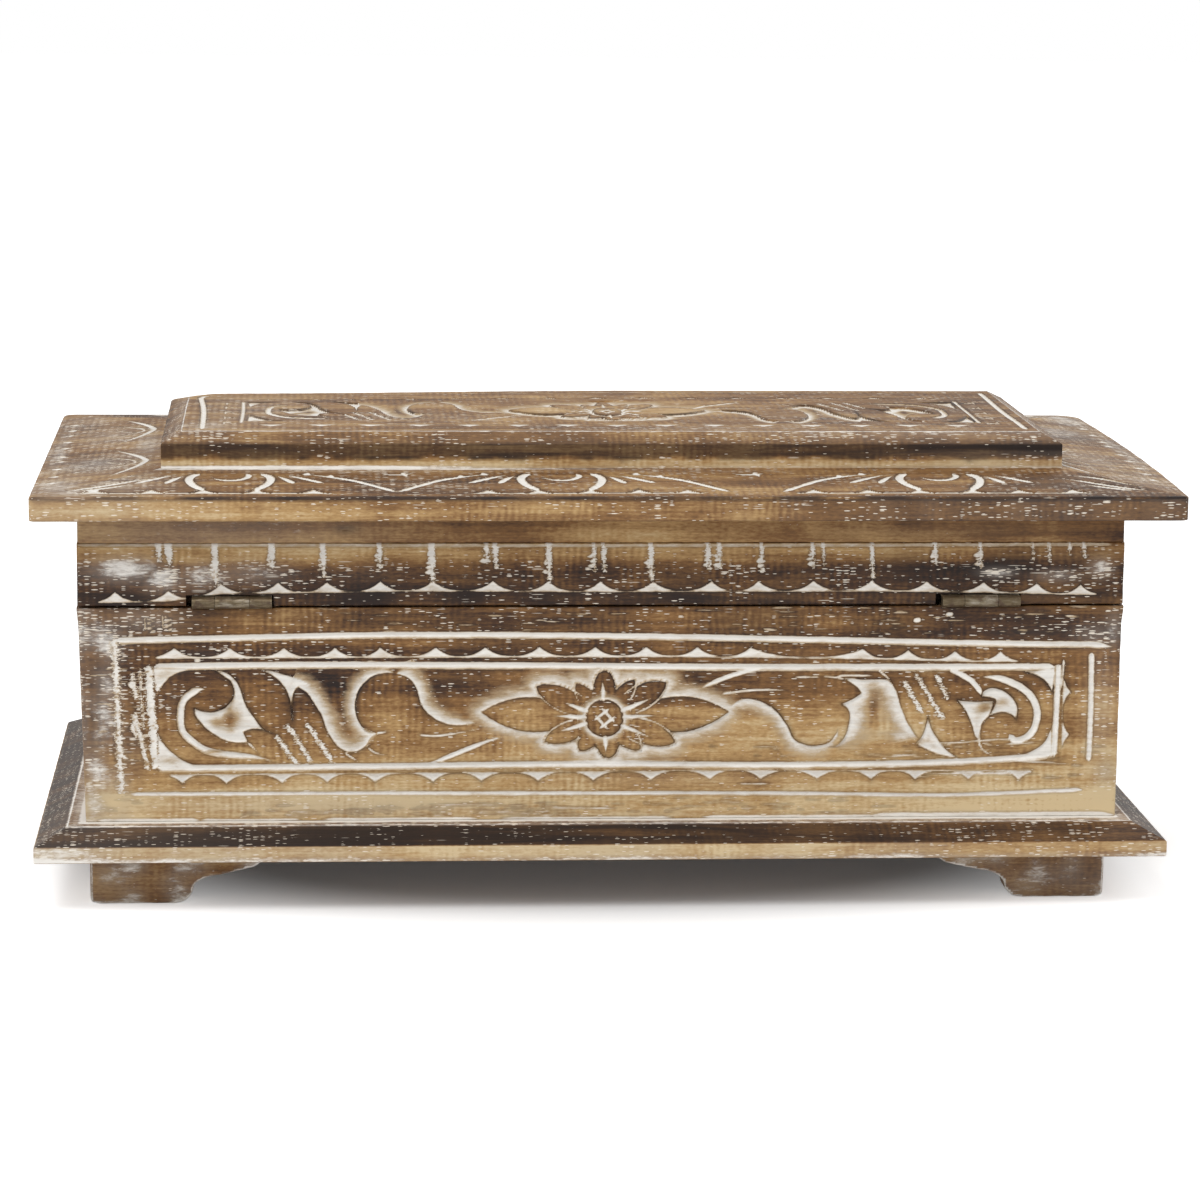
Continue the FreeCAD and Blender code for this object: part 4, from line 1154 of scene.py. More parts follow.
# Scratched stretches: from and to along the board, from and to in height, how many, how dark
SCRATCHED = [
    (50, 150, 61, 70, 46, 0.1), (90, 158, 13, 26, 40, 0.35), (-120, -10, 1.5, 5.5, 60, 0.5),
    (-100, 60, 62, 70, 30, 0.1), (0, 90, 1.5, 7, 26, 0.3), (-168, -150, 3, 66, 40, 0.3),
    (20, 120, 20, 24, 18, 0.3),
]
WHITE_DOTS = [(101.0, 65.5), (111.4, 67.4)]
# Paint along the foot of the board: start, end and width of each stretch
FOOT_PAINT = [
    (-166, -131, 1.6), (-133, -98, 1.1), (-94, -40, 1.3), (-36, 24, 1.2), (30, 92, 1.5), (84, 171, 2.6),
]
ZIGZAGS_AT = [(-146.8, 61.9), (-141.2, 62.3)]
# Each patch is its middle, its two half-widths, then tone, scorch and paint where there are any
CASE_PATCHES = [
    (-105, 6, 60, 6, 0.05, 0, 0.15), (140, 61.5, 22, 3, -0.1, 0.5, 0.1), (60, 68.5, 60, 1.6, -0.1, 0.4),
    (-130, 55, 16, 2.2, -0.1, 0.5, 0.1), (160, 60.5, 9, 5, 0, 0.2, 0.34), (165, 15, 5, 6, 0, 0.25, 0.36),
    (-152, 24, 4, 16, -0.05, 0.3, 0.18), (-161, 61, 9, 7, 0, 0.2, 0.46),
    (-163, 40, 4, 12, -0.1, 0.7, 0.26), (-162, 14, 8, 7, 0.1, 0, 0.42),
    (-147, 66, 14, 5, -0.05, 0.2, 0.36), (-168, 30, 3, 30, 0, 0.2, 0.34), (-108, 67, 20, 4, 0.3),
    (-40, 66, 46, 5, -0.06, 0.42), (56, 66, 40, 4, 0.05, 0.2), (128, 66, 34, 6, -0.18, 0.66),
    (-60, 55.5, 60, 2.4, -0.1, 0.38), (90, 54.5, 50, 2.4, -0.05, 0.3, 0.08), (-119, 22, 14, 4, 0.1),
    (-93, 44, 7, 5, -0.2, 0.35), (-52, 46, 12, 4, -0.2, 0.5), (-68, 35, 8, 8, 0.16),
    (-124, 26, 12, 3, -0.1, 0.5), (-140, 40, 5, 9, -0.08, 0.2, 0.1), (22, 46, 16, 3, -0.12, 0.4),
    (52, 27, 22, 8, 0.14, 0, 0.05), (96, 34, 18, 12, 0.14), (130, 34, 12, 10, 0.08, 0.2),
    (163, 36, 7, 26, 0.15, 0, 0.3), (166, 62, 4, 8, 0, 0.2, 0.42), (-30, 22, 18, 4, 0.1, 0, 0.06),
    (-20, 1.5, 120, 1.8, -0.05, 0.4, 0.16), (110, 1, 60, 1.6, 0, 0.2, 0.3),
    (-90, 5, 80, 5, 0.02, 0, 0.26), (20, 13, 60, 3, 0.04, 0, 0.16),
]
print(len(CHIPS_UP), "chips above and", len(CHIPS_DOWN), "below")

# %% [markdown]
# ### The ends of the case
# The photograph doesn't show the ends. They carry the same vocabulary in a shorter space, as the
# other boards of such a chest do: two frames, chips, the flower without its long leaves and its
# narrowest petals, and a curled head on each side.

# %% Carve an end
END_PETALS = [petal for petal in PETALS if abs(petal[0][0]) < 40 and petal[1] > 3.0]
END_OUTER = 62.4
END_INNER = 53.4
# Each line is its reach, its levels, then width, depth, thin ends, paint and scorch
END_LINES = [
    (END_OUTER, (59.4, 59.8, 59.0), 2.4, 0.7, 0.02, 1.0, 0.4),
    (END_OUTER, (8.8, 8.5, 9.0), 1.5, 0.4, 0.04, 0.9, 0.15),
    (END_INNER, (50.6, 50.9, 50.4), 2.6, 0.8, 0.01, 1.0, 0.4),
    (END_INNER, (18.0, 18.3, 18.2), 2.6, 0.8, 0.01, 1.0, 0.3),
]
END_CHIPS = [21.0, 31.5, 43.0]
END_PITCH = 15.5
HEAD_SCALE = 0.66


def carve_end(work):
    """Frames, chips, flower and two curled heads on an end of the case."""
    work.tone += 0.14 - 0.32 * ease((work.b - 8) / 44)
    work.patches(END_PATCHES)
    for reach, levels, wide, deep, thin, paint, scorch in END_LINES:
        line = list(zip((-reach, 0, reach), levels))
        gouge(work, line, wide, deep, (thin, thin), paint, scorch, LONG_STEP)
    for side in (-1, 1):
        torn(work, (side * END_OUTER, 60), (side * END_OUTER, 9), 1.8, 0.5, work.seed + 5 + side, 1.2)
        torn(work, (side * END_INNER, 51.6), (side * END_INNER, 17), 2.5, 0.8, work.seed + 8 + side, 1.0)
        chips(work, END_CHIPS, side * (END_INNER + 2.4), 3.2, side, upright=True)
    row = [END_PITCH * place for place in (-3, -2, -1, 0, 1, 2, 3)]
    chips(work, row, 53.3, 3.2)
    chips(work, row, 16.2, 2.8, -1)
    for scale in (HEAD_SCALE, -HEAD_SCALE):
        corner = -math.copysign(1, scale) * END_INNER + 146 * scale
        scroll_head(work.view(corner, FLOWER_AT[1], scale, math.copysign(1.0, scale)))
    flower(work.view(0.0, FLOWER_AT[1], 0.92, 1.0), END_PETALS, 5.0)


END_PATCHES = [
    (-70, 58, 7, 9, 0, 0.3, 0.45), (70, 14, 8, 9, 0, 0.1, 0.45), (0, 66, 40, 4, -0.1, 0.5),
    (40, 30, 16, 12, 0.12), (-30, 40, 14, 10, -0.1, 0.3), (-72, 20, 5, 16, 0, 0.3, 0.36),
    (0, 1.5, 70, 1.8, 0, 0.4, 0.2), (72, 62, 6, 7, 0, 0.2, 0.4),
]
print("each end has", len(END_PETALS), "petals")

# %% [markdown]
# ### The lid rim
# A row of arcs with chips runs just above the seam, and from the top edge torn strokes come down,
# in turn long and short, about every seventeen millimetres. Each is a torn cut and a plain one
# over it, and some have barbs on one side. Below the arcs the wood is scorched.

# %% Carve the rim
RIM_CHIPS = [
    -155.2, -138.4, -121.7, -103.4, -87.9, -70.8, -54.1, -34.8, -17, -0.3, 16.7, 35.6, 50.7, 68.5, 87.5,
    105.3, 123.9, 141.3, 155.6,
]
RIM_CHIP_BASE = [
    (-158, 1.6), (-139, 2.0), (-121, 4.4), (-60, 5.1), (0, 4.8), (90, 4.8), (124, 4.3), (156, 3.5),
]
RIM_CHIP_RISE = 3.1
RIM_SHIFT = -1.2
# Each mark is its place, its foot's level and its weight; the next one may stand close beside it
RIM_MARKS = [
    (-141.2, 14, 1.8), (-138, 13.2, 2.2), (-123.3, 6.6, 1.9), (-105.3, 12.2, 2), (-89, 9, 1.9),
    (-71, 12, 1.6), (-54.3, 8, 2.1), (-36.8, 14.4, 2), (-34, 12, 2.2), (-16.8, 7.6, 2.2),
    (-2.3, 11, 1.5), (0.8, 10.4, 1.7), (16, 8, 2.1), (34.3, 11.4, 1.9), (38, 11.8, 1.8), (51.7, 10.6, 1.5),
    (68.2, 12, 1.6), (71.6, 13, 1.2), (87.5, 8.2, 1.6), (108, 13.2, 1.8), (122.7, 11.8, 1.7),
    (139.7, 14.4, 1), (145.1, 14, 1.2), (151.8, 15.5, 1.2), (156.4, 15.2, 1.4),
]
RIM_BARBS = (
    -123.3, -105.3, -89, -71, -54.3, -36.8, -16.8, -2.3, 16, 34.3, 38, 51.7, 68.2, 108, 122.7,
)


def carve_rim(work):
    """Arcs and chips, torn strokes and a scorched lower edge, on a rim board."""
    half = work.half
    draw = np.random.default_rng(work.seed)
    work = work.view(RIM_SHIFT, 0)
    work.tone += -0.24 + 0.40 * ease((work.b - 12.0) / 4)
    work.burn(0.95 * ease((5.4 - work.b) / 1.6))
    work.burn(0.35 * ease((12 - work.b) / 3) * ease((work.a + 120) / 60))
    work.patches(RIM_PATCHES)
    places = [place for place in RIM_CHIPS if abs(place) < half - 3]
    chips(work, places, RIM_CHIP_BASE, RIM_CHIP_RISE, depth=0.7, line=0.5, scorch=0.75)
    for number, (place, foot, weight) in enumerate(RIM_MARKS):
        if abs(place) > half - 3:
            continue
        top = 19.2 - draw.uniform(0, 1.2)
        broad = 1.0 + 0.3 * (place < -45)
        low_end = (place + 0.3, foot)
        torn(work, (place - 0.3, top), low_end, 0.66 * weight, 0.5, work.seed + number, 2.2, 0.97)
        gouge(work, [(place - 0.3, 20.4), low_end], 0.95 * broad * weight, 0.5, (0, 0.6), 0.97, 0.2)
        if place in RIM_BARBS:
            level = 0.45 * top + 0.55 * foot
            for drop in (-1.6, 0.0, 1.4):
                start = (place - draw.uniform(1.6, 3.4), level + drop - 0.3)
                gouge(work, [start, (place, level + drop)], draw.uniform(1.0, 1.9), 0.3, (0.7, 0), 0.9, 0.2)
    gouge(work, [(-half, 19.9), (0, 19.5), (half, 19.6)], 1.2, 0.25, (0.01, 0.02), 0.62, 0.2, LONG_STEP)


RIM_PATCHES = [
    (-152, 12, 14, 5, 0.1, 0, 0.62), (-140, 9, 8, 5, 0, 0.1, 0.58), (-126, 10, 12, 5, 0.18, 0, 0.48),
    (-112, 11, 16, 5, 0.18, 0, 0.38), (-80, 11, 22, 5, 0.06, 0, 0.12),
    (-152, 17, 14, 2.5, 0.14, 0, 0.08), (118, 12, 32, 8, -0.22, 0.84), (80, 10, 30, 5, -0.05, 0.4, 0.06),
    (128, 10.5, 7, 2.2, 0, 0.4, 0.46), (148, 9.5, 9, 2.6, 0, 0.5, 0.42), (162, 12, 5, 4, 0.2, 0, 0.5),
    (152, 16, 14, 3, -0.1, 0.6, 0.1),
]
print(len(RIM_CHIPS), "rim chips and", len(RIM_MARKS), "torn strokes")

# %% [markdown]
# ### The lid's slopes
# Each long slope carries three half-open rings with rays that sweep out to both sides and meet in
# a V between them, and a row of chips near the edge. The end slopes carry two shells each, with
# their tips at the raised panel and fine lines that fan out towards the edge.

# %% Carve the lid's slopes
SUN_PLACES = (-121.5, -15.3, 107.3)
SUN_RING = [(-9.5, 34), (-12.4, 29), (-13.0, 24), (-11.6, 17.5), (-9.2, 12.4)]
SUN_CURL = [(-7.2, 31), (-4.5, 25.6), (0, 23.6), (4.0, 25.4), (6.0, 29.5), (5.0, 33.5)]
SUN_RAYS = [[(13.5, 31.5), (17.5, 25.8), (20.8, 18.6)], [(14.5, 33), (22, 27.5), (31.0, 19.0)]]
SUN_LONG = [(16, 34.5), (28.5, 30.0), (38.0, 24.5), (44.0, 18.5), (54.0, 6.5)]
LID_CHIPS = [
    (-164, -146, -129.5, -113, -95), (-39.5, -23.5, -7, 8.5, 24), (64.5, 82, 98.5, 115.5, 130.5, 148),
]
CORNER_RAYS = [
    [(141, 29.5), (152, 23), (163, 15), (176, 7.0)], [(144, 33), (158, 27), (168, 18.5), (175, 11)],
    [(150, 20), (160, 13.5), (170, 8.5)],
]


def carve_long_slope(work):
    """Rings, rays and chips on a long slope of the lid. b runs in from the lid's edge."""
    work.tone += -0.05 + 0.06 * np.sin(work.a / 37.0)
    work.patches(SLOPE_PATCHES)
    work.burn(0.9 * ease((2.2 - work.b) / 1.6))
    for row in LID_CHIPS:
        chips(work, row, 6.6, 5.8, line=1.5, depth=0.8)
    for place in SUN_PLACES:
        for hand in (1, -1):
            half = work.view(place, 0, hand, 1)
            gouge(half, SUN_RING, 2.9, 0.85, (0.12, 0), scorch=0.7)
            for ray in SUN_RAYS:
                gouge(half, ray, 2.3, 0.6, (0.6, 0.2), scorch=0.4)
            if abs(place + hand * SUN_LONG[-1][0]) < 130:
                gouge(half, SUN_LONG, 2.3, 0.6, (0.5, 0.12), scorch=0.45)
                for notch in ((32.0, 28.6), (24.5, 31.8)):
                    gouge(half, [notch, (notch[0] + 0.6, notch[1] + 3.2)], 2.6, 0.5, (0, 0.9))
        gouge(work.view(place, 0), SUN_CURL, 2.2, 0.6, (0.5, 0.12), scorch=0.5)
    for hand in (1, -1):
        for ray in CORNER_RAYS:
            gouge(work.view(0, 0, hand, 1), ray, 2.1, 0.55, (0.5, 0.3), scorch=0.45)
    for middle in (-67, 47):
        gouge(work, [(middle - 8, 33), (middle - 1, 31.4), (middle + 6, 34)], 1.6, 0.4, (0.4, 0.4))
        gouge(work, [(middle + 1, 33.5), (middle + 2.6, 27)], 1.8, 0.45, (0, 0.7))
    work.rub(0.62 * ease((work.b - 36.6) / 2.0) * ease((60 - work.a) / 120))


SHELL_PLACES = (-39.0, 38.0)
SHELL_WING = [(1.0, 34.5), (9, 32.5), (17, 29.5), (28, 24), (39, 16.5)]
SHELL_INNER = [(0.5, 33.5), (7, 28), (15, 20.5), (24, 12)]
SHELL_EYE = [(-6, 21), (-9, 25), (-4, 29.5), (2, 31), (4.5, 28), (0, 23.5), (-6, 21)]
END_NOTCHES = (-67, -53, -40, -23, -8, 13, 23.5, 41, 58, 72)


def carve_end_slope(work):
    """Two shells with fine fans, and notches along the edge, on an end slope of the lid."""
    draw = np.random.default_rng(work.seed)
    work.tone += 0.02
    work.patches(SLOPE_END_PATCHES)
    for place in SHELL_PLACES:
        for hand in (1, -1):
            half = work.view(place, 0, hand, 1)
            gouge(half, SHELL_WING, 2.3, 0.5, (0.0, 0.8), 0.95, 0.45)
            gouge(half, SHELL_INNER, 1.1, 0.35, (0.0, 0.7), 0.85, 0.4)
        gouge(work.view(place, 0), SHELL_EYE, 1.2, 0.4, (0.1, 0.1), 0.9, 0.3)
        for spread in (-17, -10, -3, 5, 12):
            foot = place + 1.5 * spread + draw.uniform(-2, 2)
            tip = (place + spread * 0.8, 19 + draw.uniform(-2, 2))
            gouge(work, [tip, ((tip[0] + foot) / 2, 13), (foot, 6.5)], 0.8, 0.3, (0.5, 0.3), 0.75, 0.45)
    for place in END_NOTCHES:
        gouge(work, [(place - 4.0, 4.2), (place, 6.6), (place + 4.2, 4.0)], 2.0, 0.5, (0.6, 0.6), 0.95, 0.4)
        gouge(work, [(place, 5.0), (place + 0.6, 10.0)], 2.6, 0.45, (0, 0.95), 0.9, 0.3)


SLOPE_PATCHES = [
    (-160, 20, 26, 22, -0.05, 0.45, 0.36), (-172, 6, 16, 8, 0.05, 0.2, 0.46),
    (-122, 19, 8, 5, 0.12, 0.1), (-60, 16, 30, 12, -0.04, 0.3, 0.12), (8, 20, 30, 14, 0.08, 0, 0.06),
    (58, 20, 24, 12, -0.02, 0.2), (107, 18, 14, 9, 0.04, 0.1), (150, 16, 26, 14, -0.1, 0.35, 0.1),
    (20, 36, 60, 3, 0.1, 0, 0.2), (-90, 36, 50, 3, 0.1, 0, 0.32),
]
SLOPE_END_PATCHES = [
    (40, 18, 26, 18, -0.1, 0.5, 0.42), (-30, 20, 34, 16, 0.02, 0.15, 0.36),
    (80, 8, 26, 12, 0.05, 0.2, 0.48), (0, 34, 36, 6, 0.1, 0, 0.46), (-70, 10, 30, 14, 0, 0.2, 0.34),
    (0, 4, 90, 4, 0, 0.3, 0.4),
]
print(len(SUN_PLACES), "rings on a long slope,", len(SHELL_PLACES), "shells on an end slope")

# %% [markdown]
# ### The raised panel's top
# A bold line crosses the panel near each end, with a row of nicks and a second line inside it.
# Along the long edges run a thin line and a row of chips, and the scroll and flower of the sides
# fill the middle, drawn out to the panel's greater depth.

# %% Carve the panel's top
PANEL_ENDS = (-134.5, 136.5)
PANEL_NICKS = (-126.0, 129.0)
PANEL_INNER = (-121.5, 124.0)
PANEL_FIELD = (1.5, -3.0, 0.835, 1.62)
PANEL_CHIP_PITCH = 16.2


def carve_panel(work):
    """The lines, nicks, chips, scrolls and flower on the raised panel's top. half is its half depth."""
    half = work.half
    work.patches(PANEL_PATCHES)
    for place, lean in zip(PANEL_ENDS, (-2.4, 0.4)):
        gouge(work, [(place + lean, half - 3), (place, 0), (place + 0.6, 4 - half)], 2.0, 0.8, (0.03, 0.03))
    for place, way in zip(PANEL_NICKS, (-1, 1)):
        for level in (-34, -21, -8, 5, 18):
            nick = [(place - 2.2 * way, level), (place + 1.8 * way, level + 2)]
            gouge(work, nick, 1.9, 0.6, (0, 0.5), 0.9)
            gouge(work, [(place + way, level - 4), (place + way, level + 6)], 0.9, 0.3, (0.3, 0.3), 0.9, 0.2)
    for place in PANEL_INNER:
        gouge(work, [(place, 26), (place + 0.3, -3), (place, -33)], 1.4, 0.7, (0.03, 0.03))
    for level in (half - 5.0, 4.4 - half):
        line = [(-half * 2.5, level), (0, level + 0.4), (half * 2.5, level)]
        gouge(work, line, 0.9, 0.25, (0.02, 0.02), 0.7, 0.1)
    row = np.arange(-7, 8) * PANEL_CHIP_PITCH
    chips(work, row, 31.0, 4.0, 1, 0.5, 0.3, scorch=0.3)
    chips(work, row + 2, -37.5, 4.0, -1, 0.5, 0.3, scorch=0.3)
    middle_a, middle_b, scale_a, scale_b = PANEL_FIELD
    for hand in (1, -1):
        left_scroll(work.view(middle_a, middle_b, hand * scale_a, hand * scale_b))
    flower(work.view(middle_a, middle_b, scale_a, scale_b))


PANEL_PATCHES = [
    (-118, 0, 22, 60, 0.06, 0, 0.24), (-60, -20, 30, 16, 0, 0.1, 0.2), (0, 10, 60, 26, 0.1, 0, 0.1),
    (70, -20, 40, 20, -0.04, 0.15, 0.16), (120, 10, 24, 40, -0.06, 0.25, 0.12),
    (-132, -40, 12, 14, 0.1, 0.1, 0.4), (40, -46, 70, 5, 0, 0.1, 0.24), (-130, 10, 6, 44, 0, 0.3, 0.16),
]
print("the panel's scroll is drawn out", PANEL_FIELD[3], "times in depth")

# %% [markdown]
# ## Boards with relief
# Each carved board becomes one closed mesh. Its outer face is a grid fine enough to hold the
# cuts, half a millimetre or so. Rows of points behind the grid's border make the board's sides,
# and one flat face closes its back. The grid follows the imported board: its outline, taper and
# lip are read from the frame, so the carved face always lies on the real one. The arrises are
# rounded a little, unevenly, as on a board that was sanded by hand.

# %% Build a closed mesh from a grid
ARRIS = 0.7
UNEVEN = 0.05
CREASE_ANGLE = math.radians(42)


def border_of(grid):
    """The border of a grid of indices, anticlockwise from its lower left corner."""
    return np.concatenate([grid[0, :], grid[1:, -1], grid[-1, -2::-1], grid[-2:0:-1, 0]])


def border_ring(values):
    """The indices of the border points of a grid of values."""
    return border_of(np.arange(values.size).reshape(values.shape))


def paint_mesh(mesh, wear):
    """Keeps the wear of every point as the two colour attributes that the finish reads."""
    solid = np.ones((len(wear), 1))
    for name, layers in (("wear", wear[:, :3]), ("cuts", wear[:, 3:])):
        layer = mesh.color_attributes.new(name, "FLOAT_COLOR", "POINT")
        layer.data.foreach_set("color", np.hstack([layers, solid]).astype(np.float32).ravel())


def close_sheet(name, points, paint, rows, hole=None):
    """A closed mesh: a grid seen from outside, rows of points behind its border, a flat back.

    hole is (low b, high b, low a, high a) in grid steps, closed with one flat face."""
    count_b, count_a = points.shape[:2]
    grid = np.arange(count_b * count_a).reshape(count_b, count_a)
    quads = np.stack([grid[:-1, :-1], grid[:-1, 1:], grid[1:, 1:], grid[1:, :-1]], axis=-1)
    keep = np.ones(quads.shape[:2], bool)
    faces = []
    if hole:
        b0, b1, a0, a1 = hole
        keep[b0:b1, a0:a1] = False
        faces.append(border_of(grid[b0:b1 + 1, a0:a1 + 1]).tolist())
    faces += quads[keep].tolist()
    loop = border_of(grid)
    places = [points.reshape(-1, 3)]
    colours = [paint.reshape(-1, WEAR_LAYERS)]
    count = count_a * count_b
    for row_points, row_paint in rows:
        row = np.arange(count, count + len(loop))
        faces += np.stack([loop, row, np.roll(row, -1), np.roll(loop, -1)], axis=-1).tolist()
        places.append(row_points)
        colours.append(row_paint)
        count += len(loop)
        loop = row
    faces.append(loop[::-1].tolist())
    used = np.zeros(count, bool)
    used[[point for face in faces for point in face]] = True
    renumber = np.cumsum(used) - 1
    faces = [renumber[face].tolist() for face in faces]
    mesh = bpy.data.meshes.new(name)
    mesh.from_pydata(np.vstack(places)[used].tolist(), [], faces)
    paint_mesh(mesh, np.vstack(colours)[used])
    mesh.shade_smooth()
    mesh.set_sharp_from_angle(angle=CREASE_ANGLE)
    return mesh


def add_piece(mesh, material, body, slot, *nodes):
    """Puts a mesh in the scene with its finish, on its body, for the nodes it stands for."""
    piece = new_object(mesh.name, mesh)
    mesh.materials.append(material)
    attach(piece, body)
    if nodes:
        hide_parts(*nodes)
    return piece


def flat_paint(count, film=0.0, scorch=0.0, tone=BARE_TONE):
    """Film, scorch and tone, each one value or an array, for a number of points that lie in no cut."""
    paint = np.zeros((count, WEAR_LAYERS))
    for column, value in enumerate((film, scorch, tone)):
        paint[:, column] = value
    return paint


def hole_between(x, y, low, high):
    """The steps of a grid that lie between two corners, as close_sheet wants its hole."""
    a0, a1 = np.searchsorted(x[0], (low[0], high[0]))
    b0, b1 = np.searchsorted(y[:, 0], (low[1], high[1]))
    return int(b0), int(b1), int(a0), int(a1)


def grid_lines(low, high, step, extra=()):
    """Even grid lines with closer ones beside both ends, and others where they are asked for."""
    close = [0.15, 0.4]
    lines = list(np.linspace(low, high, int(round((high - low) / step)) + 1))
    lines += [low + gap for gap in close] + [high - gap for gap in close] + list(extra)
    lines = np.unique(np.round(lines, 4))
    return lines[np.concatenate([[True], np.diff(lines) > 0.02])]


def hand_planed(depth, x, y, seed):
    """The depth of a face that is a little out of level, as a hand plane leaves it."""
    return np.maximum(depth + UNEVEN * mottle(x, y, 40.0, seed) - 0.02, 0)


def arris_drop(away, radius):
    """How far a rounded arris falls below the face, at a distance from the edge."""
    inside = np.clip(radius - away, 0, radius)
    return radius - np.sqrt(np.maximum(radius ** 2 - inside ** 2, 0))


print("creases over", round(math.degrees(CREASE_ANGLE)), "degrees stay sharp")

# %% Build a carved side board
FACINGS = {
    "back": ((-1, 0, 0), (0, 1, 0)),
    "front": ((1, 0, 0), (0, -1, 0)),
    "left": ((0, -1, 0), (-1, 0, 0)),
    "right": ((0, 1, 0), (1, 0, 0)),
}
LEVEL_SLACK = 0.03 * MM
# A notch's wall stands between two grid lines this far on either side of its edge
WALL = (-0.03, 0.03)
# Film, scorch and tone of a board's sides and back
SIDE_PAINT = (0.1, 0.2, 0.4)
# The rows of points down a board's sides: how far they lie behind the face, the last one at the
# back, and how much of the face's paint they keep
SIDE_ROWS = ((0.6, 0.6), (2.5, 0.0), (100.0, 0.0))
RIPPLE_DEPTH = 0.035


def reach(node, way, level):
    """How far a node reaches along a direction at a height, in metres."""
    corners_there = [v.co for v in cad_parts[node].data.vertices if abs(v.co.z - level) < LEVEL_SLACK]
    return max(corner.dot(Vector(way)) for corner in corners_there)


def carved_board(name, node, facing, step, carve, seed, lip, notches):
    """A board whose outer face is carved, with the outline and taper of its node."""
    low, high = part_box(node)
    right = np.array(FACINGS[facing][0], float)
    outward = np.array(FACINGS[facing][1], float)
    up = np.array([0, 0, 1.0])
    levels = [low.z, high.z] if not lip else [low.z, high.z - lip * MM, high.z]
    rights = [reach(node, right, level) for level in levels]
    lefts = [reach(node, -right, level) for level in levels]
    outs = [reach(node, outward, level) for level in levels]
    half = (rights[-1] + lefts[-1]) / 2 / MM
    tall = (high.z - low.z) / MM
    stops = [(level - low.z) / MM for level in levels]
    extra_a = [edge + gap for start, end, _, _ in notches for edge in (start, end) for gap in WALL]
    extra_b = [roof + gap for _, _, roof, _ in notches for gap in WALL]
    a, b = np.meshgrid(grid_lines(-half, half, step, extra_a), grid_lines(0, tall, step, extra_b))
    work = Carving(a, b, seed, half)
    carve(work)
    paint = work.wear(seed)
    depth = work.depth.reshape(a.shape) + UNEVEN * mottle(a, b, 34.0, seed + 9)
    waves = np.sin(a * math.tau / (RIPPLE_PITCH / MM) + 1.5 * wander(b, 30.0, seed))
    depth = depth + RIPPLE_DEPTH * waves - UNEVEN
    radius_a = ARRIS * (1 + 0.35 * wander(b, 23.0, seed + 1) + 0.2 * wander(b, 5.0, seed + 2))
    radius_b = ARRIS * (1 + 0.35 * wander(a, 31.0, seed + 3) + 0.2 * wander(a, 6.0, seed + 4))
    depth = np.maximum(depth, 0)
    depth = depth + arris_drop(half - np.abs(a), radius_a) + arris_drop(np.minimum(b, tall - b), radius_b)
    for start, end, roof, deep in notches:
        depth = np.where((a > start) & (a < end) & (b < roof), deep, depth)
    halves = np.interp(b, stops, [(r + l) / 2 / MM for r, l in zip(rights, lefts)])
    middles = np.interp(b, stops, [(r - l) / 2 for r, l in zip(rights, lefts)])
    out = np.interp(b, stops, [value / MM for value in outs]) - depth
    points = right * (middles + a * halves / half * MM)[..., None] + outward * (out * MM)[..., None]
    points = points + up * (low.z + b * MM)[..., None]
    inner = -max(-Vector(low).dot(Vector(outward)), -Vector(high).dot(Vector(outward)))
    loop = border_ring(a)
    edge = points.reshape(-1, 3)[loop]
    edge_out = edge @ outward
    rows = []
    for step_back, blend in SIDE_ROWS:
        target = np.maximum(edge_out - step_back * MM, inner)
        row = edge + outward * (target - edge_out)[:, None]
        plain = flat_paint(len(loop), *SIDE_PAINT)
        rows.append((row, paint[loop] * blend + plain * (1 - blend)))
    mesh = close_sheet(name, points, paint, rows)
    print(name, len(mesh.polygons), "faces, deepest cut", round(float(work.depth.max()), 2), "mm")
    return mesh


def four_boards(name, node, step, carves, woods, seeds, body, slot, lip=0.0, back_notches=()):
    """The back, front and two ends of a box. carves and woods are for a long and a short side."""
    for number, (side, seed) in enumerate(zip(FACINGS, seeds)):
        short = number > 1
        notches = back_notches if side == "back" else ()
        board = carved_board(name + side, node + side, side, step, carves[short], seed, lip, notches)
        add_piece(board, woods[short], body, slot, node + side)


# %% [markdown]
# ### The case
# Front and back run the full length and the ends stand between them, nailed through. The back is
# the side in the photograph. The front is carved alike, with its own wobbles and scorch.

# %% Carve the four case boards
CASE_LIP = 6.0
CASE_STEP = 0.52
CARVED_WOODS = (long_wood, short_wood)

carves = (carve_long_side, carve_end)
seeds = (100, 200, 300, 400)
four_boards("carved_case_", "case_", CASE_STEP, carves, CARVED_WOODS, seeds, "case", "carved_wood", CASE_LIP)

# %% [markdown]
# ### The rim and its hinge notches
# The rim's back board is cut out for each hinge, so that the barrel lies almost flush. In the
# field a notch is just a very deep, steep-sided cut that is open at the bottom. Its ends are the
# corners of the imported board's lower edge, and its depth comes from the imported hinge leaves.

# %% Carve the four rim boards
BARREL_ROOM = 0.3
BARREL_DEEP = 1.3
RIM_STEP = 0.5


def hinge_notches():
    """Notches of the rim's back: start, end, height and depth on its face, in millimetres."""
    low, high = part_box("rim_back")
    middle = (low.x + high.x) / 2
    places = [v.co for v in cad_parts["rim_back"].data.vertices if abs(v.co.z - low.z) < LEVEL_SLACK]
    breaks = sorted({round((middle - v.x) / MM, 2) for v in places if abs(v.y - high.y) < LEVEL_SLACK})
    found = []
    for hand in ("right", "left"):
        leaf_low, leaf_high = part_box("hinge_" + hand + "_lid_leaf")
        centre = (middle - (leaf_low.x + leaf_high.x) / 2) / MM
        start = max(place for place in breaks if place < centre)
        end = min(place for place in breaks if place > centre)
        roof = (leaf_high.z - low.z) / MM
        print("notch", round(start, 1), "to", round(end, 1), "mm, roof", round(roof, 2))
        found.append((start, end, roof + BARREL_ROOM, BARREL_DEEP))
        found.append((start, end, roof, (high.y - leaf_low.y) / MM))
    return found


